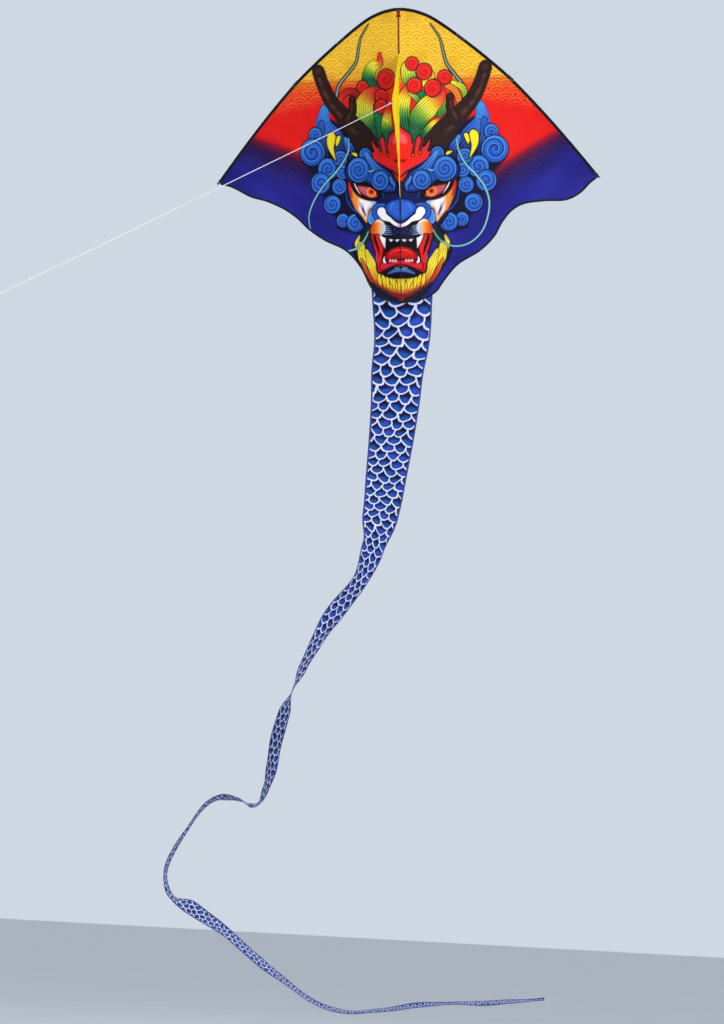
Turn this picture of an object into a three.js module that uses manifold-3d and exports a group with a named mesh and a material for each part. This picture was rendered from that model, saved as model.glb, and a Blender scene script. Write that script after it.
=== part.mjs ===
// Delta kite with a rounded head, a keel, a flying line and a long tapering tail.
// Millimetres, +Z up. The origin is the tow point, in the keel's eyelet. The kite flies with its
// printed face towards -Y and down, and its nose up, at the lean it takes in a steady wind.
import * as THREE from 'three';
import { mergeVertices } from 'three/addons/utils/BufferGeometryUtils.js';
import Module from 'manifold-3d';

const wasm = await Module();
wasm.setup();

// ---------------------------------------------------------------- driving dimensions
const LEAN = THREE.MathUtils.degToRad(29);       // the spine's lean from the vertical
const DIHEDRAL = THREE.MathUtils.degToRad(13);   // each wing's sweep away from the keel's side
const SIDES = { right: 1, left: -1 };

const CLOTH = 0.8;             // thickness of one layer of cloth with its coating
const GAP = 0.4;               // clearance between pieces that touch
const ROD_R = 3;               // fibreglass rods
const BORE_R = 3.6;            // anything a rod passes through
const FERRULE_R = 4.8;
const SLEEVE_R = 6;
const ROUND = 8;               // sides of a rod, sleeve or ferrule

const KEEL_TOP = 200;          // distances down the spine from the nose
const KEEL_BOTTOM = 845;
const TOW_DROP = 430;
const KEEL_DEPTH = 270;        // from the sail to the eyelet
const SPREADER_X = 520;
const SPREADER_DROP = 310;
const SOCKET_LIFT = 9;         // the spreader lies this far behind the leading-edge rods
const SPINE_SPLIT = 660;
const SPINE_END = 1225;
const CHIN = 1335;
const STRIP_HALF = 11;         // half width of the centre strip
const WING_START = 12.6;       // where a wing's pieces begin, clear of the fold line
const BILLOW = 34;             // how far the wind fills each half of the sail

const FERRULE_PLACE = 305;     // distances along the leading edge from the nose
const FERRULE_LENGTH = 40;
const FITTING_LENGTH = 36;
const NOTCH = 3;               // bare rod between a sleeve and a fitting
const BINDING_R = 1.6;
const CENTRE_FERRULE = 60;

const TAIL_DROP = 1262;        // where the tail's top edge lies behind the chin
const TAIL_STAND_OFF = 10;
const TAIL_TOP_HALF = 148;
const TAIL_WAIST_HALF = 85;
const TAIL_END_HALF = 22;
const TAIL_WAIST_PLACE = 1100; // where the quick taper ends
const TAIL_HINGE_GAP = 4;
const LINE_R = 1.5;

// ---------------------------------------------------------------- materials
function material(color, roughness, metalness = 0) {
  return new THREE.MeshStandardMaterial({ color, roughness, metalness });
}
const MATERIALS = {
  sail: material(0x2a2f96, 0.6),
  edging: material(0x0d0d10, 0.8),
  rod: material(0x15151a, 0.45),
  fitting: material(0x101012, 0.55),
  metal: material(0xb9bcc2, 0.3, 0.9),
  keel: material(0xf7dc12, 0.6),
  patch: material(0x6d1622, 0.7),
  line: material(0xf2f2ee, 0.7),
  tail: material(0x2c53c0, 0.6),
};

// ---------------------------------------------------------------- geometry helpers
const BOX_BACK = 5;            // the last of a box geometry's six faces

// Welds a geometry to one closed body whose faces point out.
function solid(geometry) {
  const flat = geometry.index ? geometry.toNonIndexed() : geometry.clone();
  flat.deleteAttribute('normal');
  flat.deleteAttribute('uv');
  const p = flat.attributes.position;
  const [a, b, c] = [new THREE.Vector3(), new THREE.Vector3(), new THREE.Vector3()];
  let volume = 0;
  for (let i = 0; i < p.count; i += 3) {
    a.fromBufferAttribute(p, i);
    b.fromBufferAttribute(p, i + 1);
    c.fromBufferAttribute(p, i + 2);
    volume += a.dot(b.cross(c));
  }
  if (volume < 0) {
    for (let i = 0; i < p.count; i += 3) {
      b.fromBufferAttribute(p, i + 1);
      c.fromBufferAttribute(p, i + 2);
      p.setXYZ(i + 1, c.x, c.y, c.z);
      p.setXYZ(i + 2, b.x, b.y, b.z);
    }
  }
  return mergeVertices(flat, 1e-4);
}

function toManifold(geometry) {
  const g = solid(geometry);
  const mesh = new wasm.Mesh({
    numProp: 3,
    vertProperties: new Float32Array(g.attributes.position.array),
    triVerts: new Uint32Array(g.index.array),
  });
  return new wasm.Manifold(mesh);
}

function fromManifold(body) {
  const mesh = body.getMesh();
  const geometry = new THREE.BufferGeometry();
  geometry.setAttribute('position', new THREE.BufferAttribute(mesh.vertProperties, 3));
  geometry.setIndex(new THREE.BufferAttribute(mesh.triVerts, 1));
  return geometry;
}

// A thin slab whose points come from place(u, v, layer), with u and v from 0 to 1 and layer -0.5 or 0.5.
// The back's squares are cut along the same diagonals as the front's, so a twisted slab keeps its thickness.
function slab(across, along, place) {
  const geometry = new THREE.BoxGeometry(1, 1, 1, across, along, 1);
  const p = geometry.attributes.position;
  for (let i = 0; i < p.count; i += 1) {
    const q = place(p.getX(i) + 0.5, p.getY(i) + 0.5, p.getZ(i));
    p.setXYZ(i, q.x, q.y, q.z);
  }
  const corners = geometry.index.array;
  const back = geometry.groups[BOX_BACK];
  for (let i = back.start; i < back.start + back.count; i += 6) {
    const [a, b, d, , c] = corners.slice(i, i + 6);
    corners.set([a, b, c, a, c, d], i);
  }
  return solid(geometry);
}

function section(outer, inner = 0) {
  const shape = new THREE.Shape();
  shape.absarc(0, 0, outer, 0, 2 * Math.PI, false);
  if (inner > 0) {
    const hole = new THREE.Path();
    hole.absarc(0, 0, inner, 0, 2 * Math.PI, true);
    shape.holes.push(hole);
  }
  return shape;
}

function tube(curve, steps, outer, inner = 0, sides = ROUND) {
  const options = { steps, curveSegments: sides / 2, extrudePath: curve, bevelEnabled: false };
  return solid(new THREE.ExtrudeGeometry(section(outer, inner), options));
}

function straight(from, to) {
  return new THREE.LineCurve3(from, to);
}

function turned(profile, sides = 12) {
  const points = profile.map(([r, z]) => new THREE.Vector2(r, z));
  return solid(new THREE.LatheGeometry(points, sides));
}

function facing(direction) {
  return new THREE.Quaternion().setFromUnitVectors(new THREE.Vector3(0, 1, 0), direction);
}

// A stretch of a longer curve, between two distances along it.
class Stretch extends THREE.Curve {
  constructor(whole, from, to) {
    super();
    this.whole = whole;
    this.from = from / whole.getLength();
    this.to = to / whole.getLength();
  }

  getPoint(t, target = new THREE.Vector3()) {
    const place = THREE.MathUtils.clamp(this.from + (this.to - this.from) * t, 0, 1);
    return this.whole.getPointAt(place, target);
  }
}

// A path through given points, with one step from each to the next.
class Polyline extends THREE.Curve {
  constructor(points) {
    super();
    this.points = points;
  }

  getUtoTmapping(u) {
    return u;
  }

  getPoint(t, target = new THREE.Vector3()) {
    const spot = THREE.MathUtils.clamp(t, 0, 1) * (this.points.length - 1);
    const low = Math.min(Math.floor(spot), this.points.length - 2);
    return target.lerpVectors(this.points[low], this.points[low + 1], spot - low);
  }
}

function named(name, geometry, kind, parent) {
  const mesh = new THREE.Mesh(geometry, MATERIALS[kind]);
  mesh.name = name;
  parent.add(mesh);
  return mesh;
}

// ---------------------------------------------------------------- frames
// The kite's own frame: X across, Y towards its back, Z up the spine, and the nose at its origin.
const kite = new THREE.Group();
kite.name = 'dragon_kite';
const airframe = new THREE.Group();
const front = new THREE.Vector3(0, -Math.cos(LEAN), -Math.sin(LEAN));
const down = new THREE.Vector3(0, Math.sin(LEAN), -Math.cos(LEAN));
airframe.rotation.x = LEAN;
airframe.position.copy(front).multiplyScalar(-KEEL_DEPTH).addScaledVector(down, -TOW_DROP);
kite.add(airframe);

const wings = {};
for (const [name, side] of Object.entries(SIDES)) {
  wings[name] = new THREE.Group();
  wings[name].rotation.z = side * DIHEDRAL;
  airframe.add(wings[name]);
}

// ---------------------------------------------------------------- wing outlines
// Points are distance out from the spine and distance down from the nose.
const LEADING_EDGE = [
  [WING_START, 1.5], [75, 11], [145, 36], [205, 71], [277, 120], [400, 211],
  [SPREADER_X, SPREADER_DROP], [665, 452], [805, 602], [940, 755],
];
const TRAILING_EDGE = {
  right: [
    [946, 766], [912, 788], [860, 838], [796, 868], [685, 872], [589, 884], [537, 911],
    [489, 966], [451, 1030], [384, 1095], [272, 1163], [200, 1246], [172, 1284], [100, 1322], [14, CHIN],
  ],
  left: [
    [946, 766], [880, 782], [773, 832], [687, 854], [603, 890], [535, 936],
    [479, 986], [385, 1042], [282, 1090], [207, 1172], [160, 1256], [130, 1292], [80, 1322], [14, CHIN],
  ],
};
const FLUTTER = { right: 5, left: 9 };   // wave of the trailing edge out of the wing's plane
const FLUTTER_WAVES = 3;

function edgeCurve(side) {
  const points = LEADING_EDGE.map(([x, drop]) => new THREE.Vector3(side * x, 0, -drop));
  return new THREE.CatmullRomCurve3(points, false, 'centripetal');
}

// The trailing edge moved in by a small distance, so that cloth and binding lie side by side.
function trailingPoint(name, t, inset = 0) {
  const points = TRAILING_EDGE[name].map(([x, drop]) => new THREE.Vector3(SIDES[name] * x, 0, -drop));
  const curve = new THREE.CatmullRomCurve3(points, false, 'centripetal');
  const point = curve.getPointAt(t);
  const along = curve.getTangentAt(t);
  const inward = new THREE.Vector3(-along.z, 0, along.x).multiplyScalar(-SIDES[name]);
  point.addScaledVector(inward, inset);
  point.y += FLUTTER[name] * Math.sin(FLUTTER_WAVES * 2 * Math.PI * t) * Math.sin(Math.PI * t);
  return point;
}

function leadingPoint(curve, side, distance, inset) {
  const place = distance / curve.getLength();
  const point = curve.getPointAt(place);
  const along = curve.getTangentAt(place);
  const inward = new THREE.Vector3(along.z, 0, -along.x).multiplyScalar(side);
  return point.addScaledVector(inward, inset);
}

// ---------------------------------------------------------------- one wing
const TIP_MARGIN = 16;           // the panel's corner is cut off short of the nock
const LEADING_ROWS = 20;         // the panel's rows along the leading edge, then the trailing edge
const TRAILING_ROWS = 24;
const TRAILING_START = 0.022;
const TRAILING_STOP = 0.985;
const PANEL_COLUMNS = 8;

function sailPanel(name, side, edge) {
  const reach = edge.getLength() - TIP_MARGIN;
  const inset = SLEEVE_R + 2 * GAP;
  const tip = leadingPoint(edge, side, reach, inset);
  const rows = LEADING_ROWS + TRAILING_ROWS;
  const tipShare = LEADING_ROWS / rows;
  return slab(PANEL_COLUMNS, rows, (u, v, layer) => {
    let outer;
    let innerDrop;
    if (v <= tipShare + 1e-6) {
      outer = leadingPoint(edge, side, THREE.MathUtils.lerp(26, reach, v / tipShare), inset);
      innerDrop = -outer.z;
    } else {
      const t = (v - tipShare) / (1 - tipShare);
      outer = trailingPoint(name, trailingPlace(t), BINDING_R + 3 * GAP);
      innerDrop = THREE.MathUtils.lerp(-tip.z, CHIN - 6, t);
    }
    const inner = new THREE.Vector3(side * WING_START, 0, -innerDrop);
    const point = inner.lerp(outer, u);
    point.y += BILLOW * Math.sin(Math.PI * u) * Math.sin(Math.PI * v) ** 2;
    point.y += layer * CLOTH;
    return point;
  });
}

function trailingPlace(t) {
  return THREE.MathUtils.lerp(TRAILING_START, TRAILING_STOP, t);
}

function trailingBinding(name) {
  const points = [];
  for (let row = 0; row <= TRAILING_ROWS; row += 1) {
    points.push(trailingPoint(name, trailingPlace(row / TRAILING_ROWS)));
  }
  return tube(new Polyline(points), TRAILING_ROWS, BINDING_R, 0, 6);
}

// The spreader runs straight across behind both wings, from one fitting's socket to the other's.
function spreaderPoint(side, centre, reach) {
  const inward = new THREE.Vector3(-side * Math.cos(DIHEDRAL), Math.sin(DIHEDRAL), 0);
  return centre.clone().addScaledVector(inward, reach).add(new THREE.Vector3(0, SOCKET_LIFT, 0));
}

const SPREADER_HALF = SPREADER_X * Math.cos(DIHEDRAL) - SOCKET_LIFT * Math.sin(DIHEDRAL);

function spreaderPiece(side, centre, from, to, outer, inner = 0, sides = ROUND) {
  const path = straight(spreaderPoint(side, centre, from), spreaderPoint(side, centre, to));
  return tube(path, 1, outer, inner, sides);
}

function edgePiece(centre, along, reach, outer) {
  const from = centre.clone().addScaledVector(along, -reach);
  const to = centre.clone().addScaledVector(along, reach);
  return tube(straight(from, to), 1, outer, 0, 12);
}

function spreaderFitting(side, edge, place) {
  const centre = edge.getPointAt(place);
  const along = edge.getTangentAt(place);
  const shell = toManifold(edgePiece(centre, along, FITTING_LENGTH / 2, SLEEVE_R + GAP));
  const socket = toManifold(spreaderPiece(side, centre, 0, 40, 5.6, 0, 12));
  const edgeBore = toManifold(edgePiece(centre, along, FITTING_LENGTH, BORE_R));
  const rodBore = toManifold(spreaderPiece(side, centre, 11, 45, BORE_R, 0, 12));
  return fromManifold(shell.add(socket).subtract(edgeBore).subtract(rodBore));
}

function spreaderRod(name, side, centre) {
  const stop = name === 'left' ? SPREADER_HALF - GAP : SPREADER_HALF - CENTRE_FERRULE / 2 - GAP;
  return spreaderPiece(side, centre, 12, stop, ROD_R);
}

function centreFerrule(side, centre) {
  const half = CENTRE_FERRULE / 2;
  return spreaderPiece(side, centre, SPREADER_HALF - half, SPREADER_HALF + half, FERRULE_R, BORE_R);
}

// A cap that grips the rod's end, with a groove for the tension loop and a flat end.
const NOCK_PROFILE = [
  [0, 14], [BORE_R, 14], [BORE_R, 0], [5.6, 0], [5.6, 17], [3, 20], [3, 24], [6.2, 26], [6.2, 29], [0, 29],
];

function buildWing(name) {
  const side = SIDES[name];
  const wing = wings[name];
  const edge = edgeCurve(side);
  const length = edge.getLength();
  const fittingIndex = LEADING_EDGE.findIndex(([x]) => x === SPREADER_X);
  const samples = 40 * (LEADING_EDGE.length - 1);
  const fittingAt = edge.getLengths(samples)[40 * fittingIndex];
  const fittingCentre = edge.getPointAt(fittingAt / length);
  const half = FERRULE_LENGTH / 2;
  const stretch = (from, to) => new Stretch(edge, from, to);
  const rodEnd = length - 1;
  const nockStart = length - 14;

  named(`${name}_sail_panel`, sailPanel(name, side, edge), 'sail', wing);
  named(`${name}_nose_arch_rod`, tube(stretch(0, FERRULE_PLACE - GAP), 10, ROD_R), 'rod', wing);
  const archSleeve = stretch(0, FERRULE_PLACE - half - NOTCH);
  named(`${name}_nose_arch_sleeve`, tube(archSleeve, 10, SLEEVE_R, BORE_R), 'edging', wing);
  const ferrule = stretch(FERRULE_PLACE - half, FERRULE_PLACE + half);
  named(`${name}_edge_ferrule`, tube(ferrule, 1, FERRULE_R, BORE_R), 'metal', wing);
  const edgeRod = stretch(FERRULE_PLACE + GAP, rodEnd);
  named(`${name}_leading_edge_rod`, tube(edgeRod, 18, ROD_R), 'rod', wing);
  const gripHalf = FITTING_LENGTH / 2 + NOTCH;
  const innerSleeve = stretch(FERRULE_PLACE + half + NOTCH, fittingAt - gripHalf);
  named(`${name}_edge_sleeve_inner`, tube(innerSleeve, 6, SLEEVE_R, BORE_R), 'edging', wing);
  const outerSleeve = stretch(fittingAt + gripHalf, nockStart - NOTCH);
  named(`${name}_edge_sleeve_outer`, tube(outerSleeve, 12, SLEEVE_R, BORE_R), 'edging', wing);
  named(`${name}_spreader_fitting`, spreaderFitting(side, edge, fittingAt / length), 'fitting', wing);
  named(`${name}_spreader_rod`, spreaderRod(name, side, fittingCentre), 'rod', wing);

  const nock = named(`${name}_tip_nock`, turned(NOCK_PROFILE), 'fitting', wing);
  nock.quaternion.copy(facing(edge.getTangentAt(nockStart / length)));
  nock.position.copy(edge.getPointAt(nockStart / length));

  named(`${name}_trailing_binding`, trailingBinding(name), 'edging', wing);
  if (name === 'left') {
    named('spreader_centre_ferrule', centreFerrule(side, fittingCentre), 'metal', wing);
  }
}

// ---------------------------------------------------------------- spine
function spineLine(from, to, back) {
  return straight(new THREE.Vector3(0, back, -from), new THREE.Vector3(0, back, -to));
}

function plate(halfWidth, from, to, back) {
  return slab(1, 1, (u, v, layer) => new THREE.Vector3(
    (2 * u - 1) * halfWidth, back + layer * CLOTH, -THREE.MathUtils.lerp(from, to, v),
  ));
}

function buildSpine() {
  const back = 8;                 // the rod lies behind the cloth
  const ferruleHalf = 18;
  const frontPlate = -CLOTH - GAP;
  named('sail_centre_strip', plate(STRIP_HALF, 4, CHIN - 4, 0), 'sail', airframe);
  named('nose_pocket', plate(STRIP_HALF - 0.6, 8, 40, frontPlate), 'patch', airframe);
  named('spine_rod_upper', tube(spineLine(10, SPINE_SPLIT - GAP, back), 1, ROD_R), 'rod', airframe);
  named('spine_rod_lower', tube(spineLine(SPINE_SPLIT + GAP, SPINE_END, back), 1, ROD_R), 'rod', airframe);
  const ferrule = spineLine(SPINE_SPLIT - ferruleHalf, SPINE_SPLIT + ferruleHalf, back);
  named('spine_ferrule', tube(ferrule, 1, FERRULE_R, BORE_R), 'metal', airframe);
  const upper = spineLine(30, SPINE_SPLIT - ferruleHalf - NOTCH, back);
  named('spine_sleeve_upper', tube(upper, 1, SLEEVE_R, BORE_R), 'edging', airframe);
  const lower = spineLine(SPINE_SPLIT + ferruleHalf + NOTCH, SPINE_END - 16, back);
  named('spine_sleeve_lower', tube(lower, 1, SLEEVE_R, BORE_R), 'edging', airframe);

  const capProfile = [[0, 13], [BORE_R, 13], [BORE_R, 0], [5.4, 0], [5.4, 16], [0, 16]];
  const cap = named('spine_end_cap', turned(capProfile), 'fitting', airframe);
  cap.quaternion.copy(facing(new THREE.Vector3(0, 0, -1)));
  cap.position.set(0, back, -(SPINE_END - 12));
  const tab = plate(STRIP_HALF - 1, SPINE_END + 8, TAIL_DROP - 3, TAIL_STAND_OFF - 3);
  named('tail_tab', tab, 'edging', airframe);
}

// ---------------------------------------------------------------- keel
const EYELET_HOLE = 4.5;
const EYELET_BARREL = 5.5;
const KEEL_HOLE = EYELET_BARREL + GAP;
const EYELET_FLANGE = 8.6;

function keelShape(corners) {
  const shape = new THREE.Shape();
  corners.forEach(([reach, drop], i) => {
    if (i === 0) {
      shape.moveTo(reach, -drop);
    } else {
      shape.lineTo(reach, -drop);
    }
  });
  return shape;
}

function flatPiece(shape, thickness, offset) {
  const options = { depth: thickness, bevelEnabled: false, curveSegments: 8 };
  const geometry = new THREE.ExtrudeGeometry(shape, options);
  geometry.translate(0, 0, offset);
  geometry.rotateX(Math.PI / 2);            // shape X stays, shape Y becomes Z, depth becomes -Y
  geometry.rotateZ(-Math.PI / 2);           // reach becomes towards the front, depth becomes across
  return solid(geometry);
}

function buildKeel() {
  const root = CLOTH / 2 + GAP;
  const cloth = keelShape([
    [root, KEEL_TOP], [KEEL_DEPTH + 10, TOW_DROP - 13], [KEEL_DEPTH + 13, TOW_DROP],
    [KEEL_DEPTH + 8, TOW_DROP + 14], [root, KEEL_BOTTOM],
  ]);
  const hole = new THREE.Path();
  hole.absarc(KEEL_DEPTH, -TOW_DROP, KEEL_HOLE, 0, 2 * Math.PI, false);
  cloth.holes.push(hole);
  named('keel_panel', flatPiece(cloth, CLOTH, -CLOTH / 2), 'keel', airframe);

  const patch = keelShape([
    [KEEL_DEPTH - 54, TOW_DROP - 40], [KEEL_DEPTH + 7, TOW_DROP - 11], [KEEL_DEPTH + 10.5, TOW_DROP],
    [KEEL_DEPTH + 5, TOW_DROP + 14], [KEEL_DEPTH - 40, TOW_DROP + 62],
  ]);
  const clear = new THREE.Path();
  clear.absarc(KEEL_DEPTH, -TOW_DROP, EYELET_FLANGE + GAP, 0, 2 * Math.PI, false);
  patch.holes.push(clear);
  const lift = CLOTH / 2 + 0.3;
  named('keel_patch_right', flatPiece(patch, CLOTH, lift), 'keel', airframe);
  named('keel_patch_left', flatPiece(patch, CLOTH, -lift - CLOTH), 'keel', airframe);

  const inner = CLOTH / 2 + 0.3;
  const outer = inner + 1;
  const eyelet = named('keel_eyelet', turned([
    [EYELET_HOLE, -outer], [EYELET_FLANGE, -outer], [EYELET_FLANGE, -inner], [EYELET_BARREL, -inner],
    [EYELET_BARREL, inner], [EYELET_FLANGE, inner], [EYELET_FLANGE, outer], [EYELET_HOLE, outer],
    [EYELET_HOLE, -outer],
  ], 20), 'metal', airframe);
  eyelet.quaternion.copy(facing(new THREE.Vector3(1, 0, 0)));
  eyelet.position.set(0, -KEEL_DEPTH, -TOW_DROP);
}

// ---------------------------------------------------------------- flying line
// The route from the knot at the eyelet to the flier's end, chosen by hand.
const LINE_ROUTE = [
  [-9, -22, -21], [-60, -144, -136], [-120, -287, -271], [-180, -430, -406], [-240, -573, -540],
  [-300, -716, -674], [-360, -860, -808], [-420, -1003, -942], [-480, -1146, -1076],
  [-540, -1290, -1210], [-600, -1433, -1344], [-660, -1576, -1477], [-720, -1719, -1610],
  [-780, -1863, -1743], [-835, -1994, -1865], [-852, -2035, -1903],
];
const LOOP_R = 11;
const END_LOOP_R = 26;
const KNOT_R = 4;
const KNOT_LENGTH = 7.6;
const LOOP_WIRE = 1.2;

function vector([x, y, z]) {
  return new THREE.Vector3(x, y, z);
}

function ringAround(centre, along, across, radius, wire, steps) {
  const normal = along.clone().cross(across).normalize();
  const basis = new THREE.Matrix4().makeBasis(along, across, normal).setPosition(centre);
  return solid(new THREE.TorusGeometry(radius, wire, 6, steps).applyMatrix4(basis));
}

function buildLine() {
  const route = LINE_ROUTE.map(vector);
  const start = route[0];
  const end = route[route.length - 1];
  const out = start.clone().normalize();
  const across = new THREE.Vector3(1, 0, 0).addScaledVector(out, -out.x).normalize();
  const loopCentre = out.clone().multiplyScalar(LOOP_R);
  named('line_loop', ringAround(loopCentre, out, across, LOOP_R, LOOP_WIRE, 18), 'line', kite);

  const knotProfile = [[0, 0], [2.6, 1], [KNOT_R, 3.8], [3.1, 6.6], [0, KNOT_LENGTH]];
  const knotStart = 2 * LOOP_R + LOOP_WIRE + GAP;
  const knot = named('line_knot', turned(knotProfile, 10), 'line', kite);
  knot.quaternion.copy(facing(out));
  knot.position.copy(out).multiplyScalar(knotStart);

  const curve = new THREE.CatmullRomCurve3(route, false, 'centripetal');
  named('flying_line', tube(curve, 40, LINE_R), 'line', kite);

  const onward = end.clone().sub(route[route.length - 2]).normalize();
  const endKnot = named('line_end_knot', turned(knotProfile, 10), 'line', kite);
  endKnot.quaternion.copy(facing(onward));
  endKnot.position.copy(end).addScaledVector(onward, GAP);
  const side = new THREE.Vector3(0, 0, 1).cross(onward).normalize();
  const ringCentre = end.clone().addScaledVector(onward, KNOT_LENGTH + 2 * GAP + LOOP_WIRE + END_LOOP_R);
  named('line_end_loop', ringAround(ringCentre, onward, side, END_LOOP_R, LOOP_WIRE, 28), 'line', kite);
}

// ---------------------------------------------------------------- tail
// The tail's centre line, and how far its width is turned from facing the front, in degrees.
const TAIL_ROUTE = [
  [0, 0, 0, 0], [2, 722, -740, 0], [1, 742, -830, 0], [-12, 758, -965, 0], [-18, 772, -1130, 2],
  [-33, 788, -1345, 4], [-47, 798, -1495, 8], [-62, 808, -1655, 16], [-92, 822, -1830, 63],
  [-158, 838, -1993, 76], [-252, 853, -2128, 73], [-334, 866, -2266, 80], [-400, 879, -2390, 88],
  [-446, 890, -2502, 105], [-474, 900, -2605, 124], [-502, 913, -2725, 127], [-524, 925, -2845, 127],
  [-546, 934, -2940, 115], [-585, 941, -3016, 103], [-655, 941, -3002, 87], [-726, 940, -2994, 84],
  [-795, 943, -3012, 93], [-872, 950, -3095, 96], [-948, 962, -3215, 97], [-986, 974, -3335, 96],
  [-952, 984, -3430, 86], [-868, 988, -3476, 60], [-762, 994, -3540, 66], [-655, 1001, -3606, 70],
  [-540, 1009, -3686, 75], [-448, 1015, -3748, 78], [-340, 1022, -3824, 81], [-235, 1027, -3872, 84],
  [-125, 1028, -3882, 83], [0, 1027, -3869, 77], [180, 1024, -3843, 76], [330, 1022, -3822, 76],
  [480, 1021, -3808, 75], [620, 1020, -3797, 74], [728, 1019, -3786, 74],
];
// Each length: where it ends along the tail, its steps, and whether a hinge lies at its lower end.
const TAIL_LENGTHS = [
  { end: TAIL_WAIST_PLACE, steps: 16, hinge: true },
  { end: 1860, steps: 14, hinge: false },
  { end: 2655, steps: 18, hinge: true },
  { end: 3420, steps: 20, hinge: false },
  { end: 4260, steps: 14, hinge: false },
  { end: Infinity, steps: 12, hinge: false },
];
const HEM_DEPTH = 10;

function tailTop() {
  return new THREE.Vector3(0, 0, 0)
    .addScaledVector(front, -(KEEL_DEPTH + TAIL_STAND_OFF))
    .addScaledVector(down, TAIL_DROP - TOW_DROP);
}

function tailCurve() {
  const points = TAIL_ROUTE.map(([x, y, z]) => new THREE.Vector3(x, y, z));
  points[0] = tailTop();
  points.splice(1, 0, tailTop().addScaledVector(down, 80));
  const turns = TAIL_ROUTE.map((row) => THREE.MathUtils.degToRad(row[3]));
  turns.splice(1, 0, 0);
  return { curve: new THREE.CatmullRomCurve3(points, false, 'centripetal'), turns };
}

const TAIL = tailCurve();
TAIL.curve.arcLengthDivisions = 2000;
TAIL.length = TAIL.curve.getLength();

// The tail's centre, direction, width direction and facing at a distance along it.
function tailFrame(distance) {
  const share = THREE.MathUtils.clamp(distance / TAIL.length, 0, 1);
  const t = TAIL.curve.getUtoTmapping(share);
  const along = TAIL.curve.getTangent(t);
  const spot = t * (TAIL.turns.length - 1);
  const low = Math.min(Math.floor(spot), TAIL.turns.length - 2);
  const ease = THREE.MathUtils.smoothstep(spot - low, 0, 1);
  const turn = THREE.MathUtils.lerp(TAIL.turns[low], TAIL.turns[low + 1], ease);
  const depth = new THREE.Vector3(0, 1, 0).addScaledVector(along, -along.y).normalize();
  const level = along.clone().cross(depth);
  const width = level.multiplyScalar(Math.cos(turn)).addScaledVector(depth, Math.sin(turn));
  const rear = width.clone().cross(along).normalize();
  return { centre: TAIL.curve.getPoint(t), along, width, rear };
}

function tailHalf(distance) {
  if (distance < TAIL_WAIST_PLACE) {
    return THREE.MathUtils.lerp(TAIL_TOP_HALF, TAIL_WAIST_HALF, distance / TAIL_WAIST_PLACE);
  }
  const share = (distance - TAIL_WAIST_PLACE) / (TAIL.length - TAIL_WAIST_PLACE);
  return THREE.MathUtils.lerp(TAIL_WAIST_HALF, TAIL_END_HALF, share);
}

// Near the chin the tail bends round the fold of the sail, and it flattens out below.
function tailCamber(offset, distance) {
  const fade = 1 - THREE.MathUtils.smoothstep(distance, 60, 520);
  return Math.abs(offset) * Math.tan(DIHEDRAL) * fade;
}

function tailPoint(across, distance, layer) {
  const frame = tailFrame(distance);
  const offset = (2 * across - 1) * tailHalf(distance);
  const lift = tailCamber(offset, distance) + layer * CLOTH;
  return frame.centre.addScaledVector(frame.width, offset).addScaledVector(frame.rear, lift);
}

function tailPiece(columns, rows, from, to) {
  return slab(columns, rows, (u, v, layer) => tailPoint(u, THREE.MathUtils.lerp(from, to, v), layer));
}

function buildTail() {
  named('tail_top_hem', tailPiece(2, 1, 1, HEM_DEPTH), 'edging', kite);
  let from = HEM_DEPTH + GAP;
  TAIL_LENGTHS.forEach(({ end, steps, hinge }, i) => {
    const last = end === Infinity;
    const seam = hinge ? TAIL_HINGE_GAP / 2 : GAP / 2;
    const to = last ? TAIL.length - 1 : end - seam;
    named(`tail_length_${i + 1}`, tailPiece(2, steps, from, to), 'tail', kite);
    from = end + seam;
  });
}

buildSpine();
buildWing('right');
buildWing('left');
buildKeel();
buildLine();
buildTail();

export default kite;
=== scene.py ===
"""The kite's looks: printed cloth, sewn edges, keel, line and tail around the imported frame.

Print and outlines are in millimetres on the flat cloth: x out from the spine and w down from the nose.
Everything in the scene itself is in metres, in the row frame.
"""

import math

import bpy
import numpy as np
from mathutils import Matrix, Vector


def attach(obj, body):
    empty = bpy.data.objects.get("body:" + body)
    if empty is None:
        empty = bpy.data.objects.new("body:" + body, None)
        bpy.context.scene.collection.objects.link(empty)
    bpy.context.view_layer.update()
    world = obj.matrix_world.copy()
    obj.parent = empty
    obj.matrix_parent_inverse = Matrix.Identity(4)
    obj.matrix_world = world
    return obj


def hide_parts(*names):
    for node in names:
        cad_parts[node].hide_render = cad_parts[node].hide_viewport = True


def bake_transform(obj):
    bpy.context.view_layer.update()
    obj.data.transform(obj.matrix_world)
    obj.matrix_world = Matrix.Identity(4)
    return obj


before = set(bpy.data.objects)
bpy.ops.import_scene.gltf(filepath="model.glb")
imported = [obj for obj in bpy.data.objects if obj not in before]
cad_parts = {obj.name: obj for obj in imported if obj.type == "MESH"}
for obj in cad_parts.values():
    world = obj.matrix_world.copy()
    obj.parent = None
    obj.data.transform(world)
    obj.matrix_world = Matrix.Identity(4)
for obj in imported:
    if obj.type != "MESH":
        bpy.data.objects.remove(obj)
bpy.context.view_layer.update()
MM = 0.001
SIDES = {"right": 1, "left": -1}

# ---------------------------------------------------------------- sizes shared with the frame
LEAN = math.radians(29)
DIHEDRAL = math.radians(13)
KEEL_DEPTH, TOW_DROP = 270, 430
KEEL_TOP, KEEL_BOTTOM = 200, 845
CHIN = 1335
BILLOW = 34
WING_REACH = 946            # from the spine to the sail's tip, along the cloth
SPINE_BACK = 8              # the spine rod lies this far behind the cloth
LINE_DIAMETER = 0.003
TAIL_DROP, TAIL_STAND_OFF = 1262, 10
TAIL_TOP_HALF, TAIL_WAIST_HALF, TAIL_END_HALF = 148, 85, 22
TAIL_WAIST_PLACE = 1100

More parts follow.
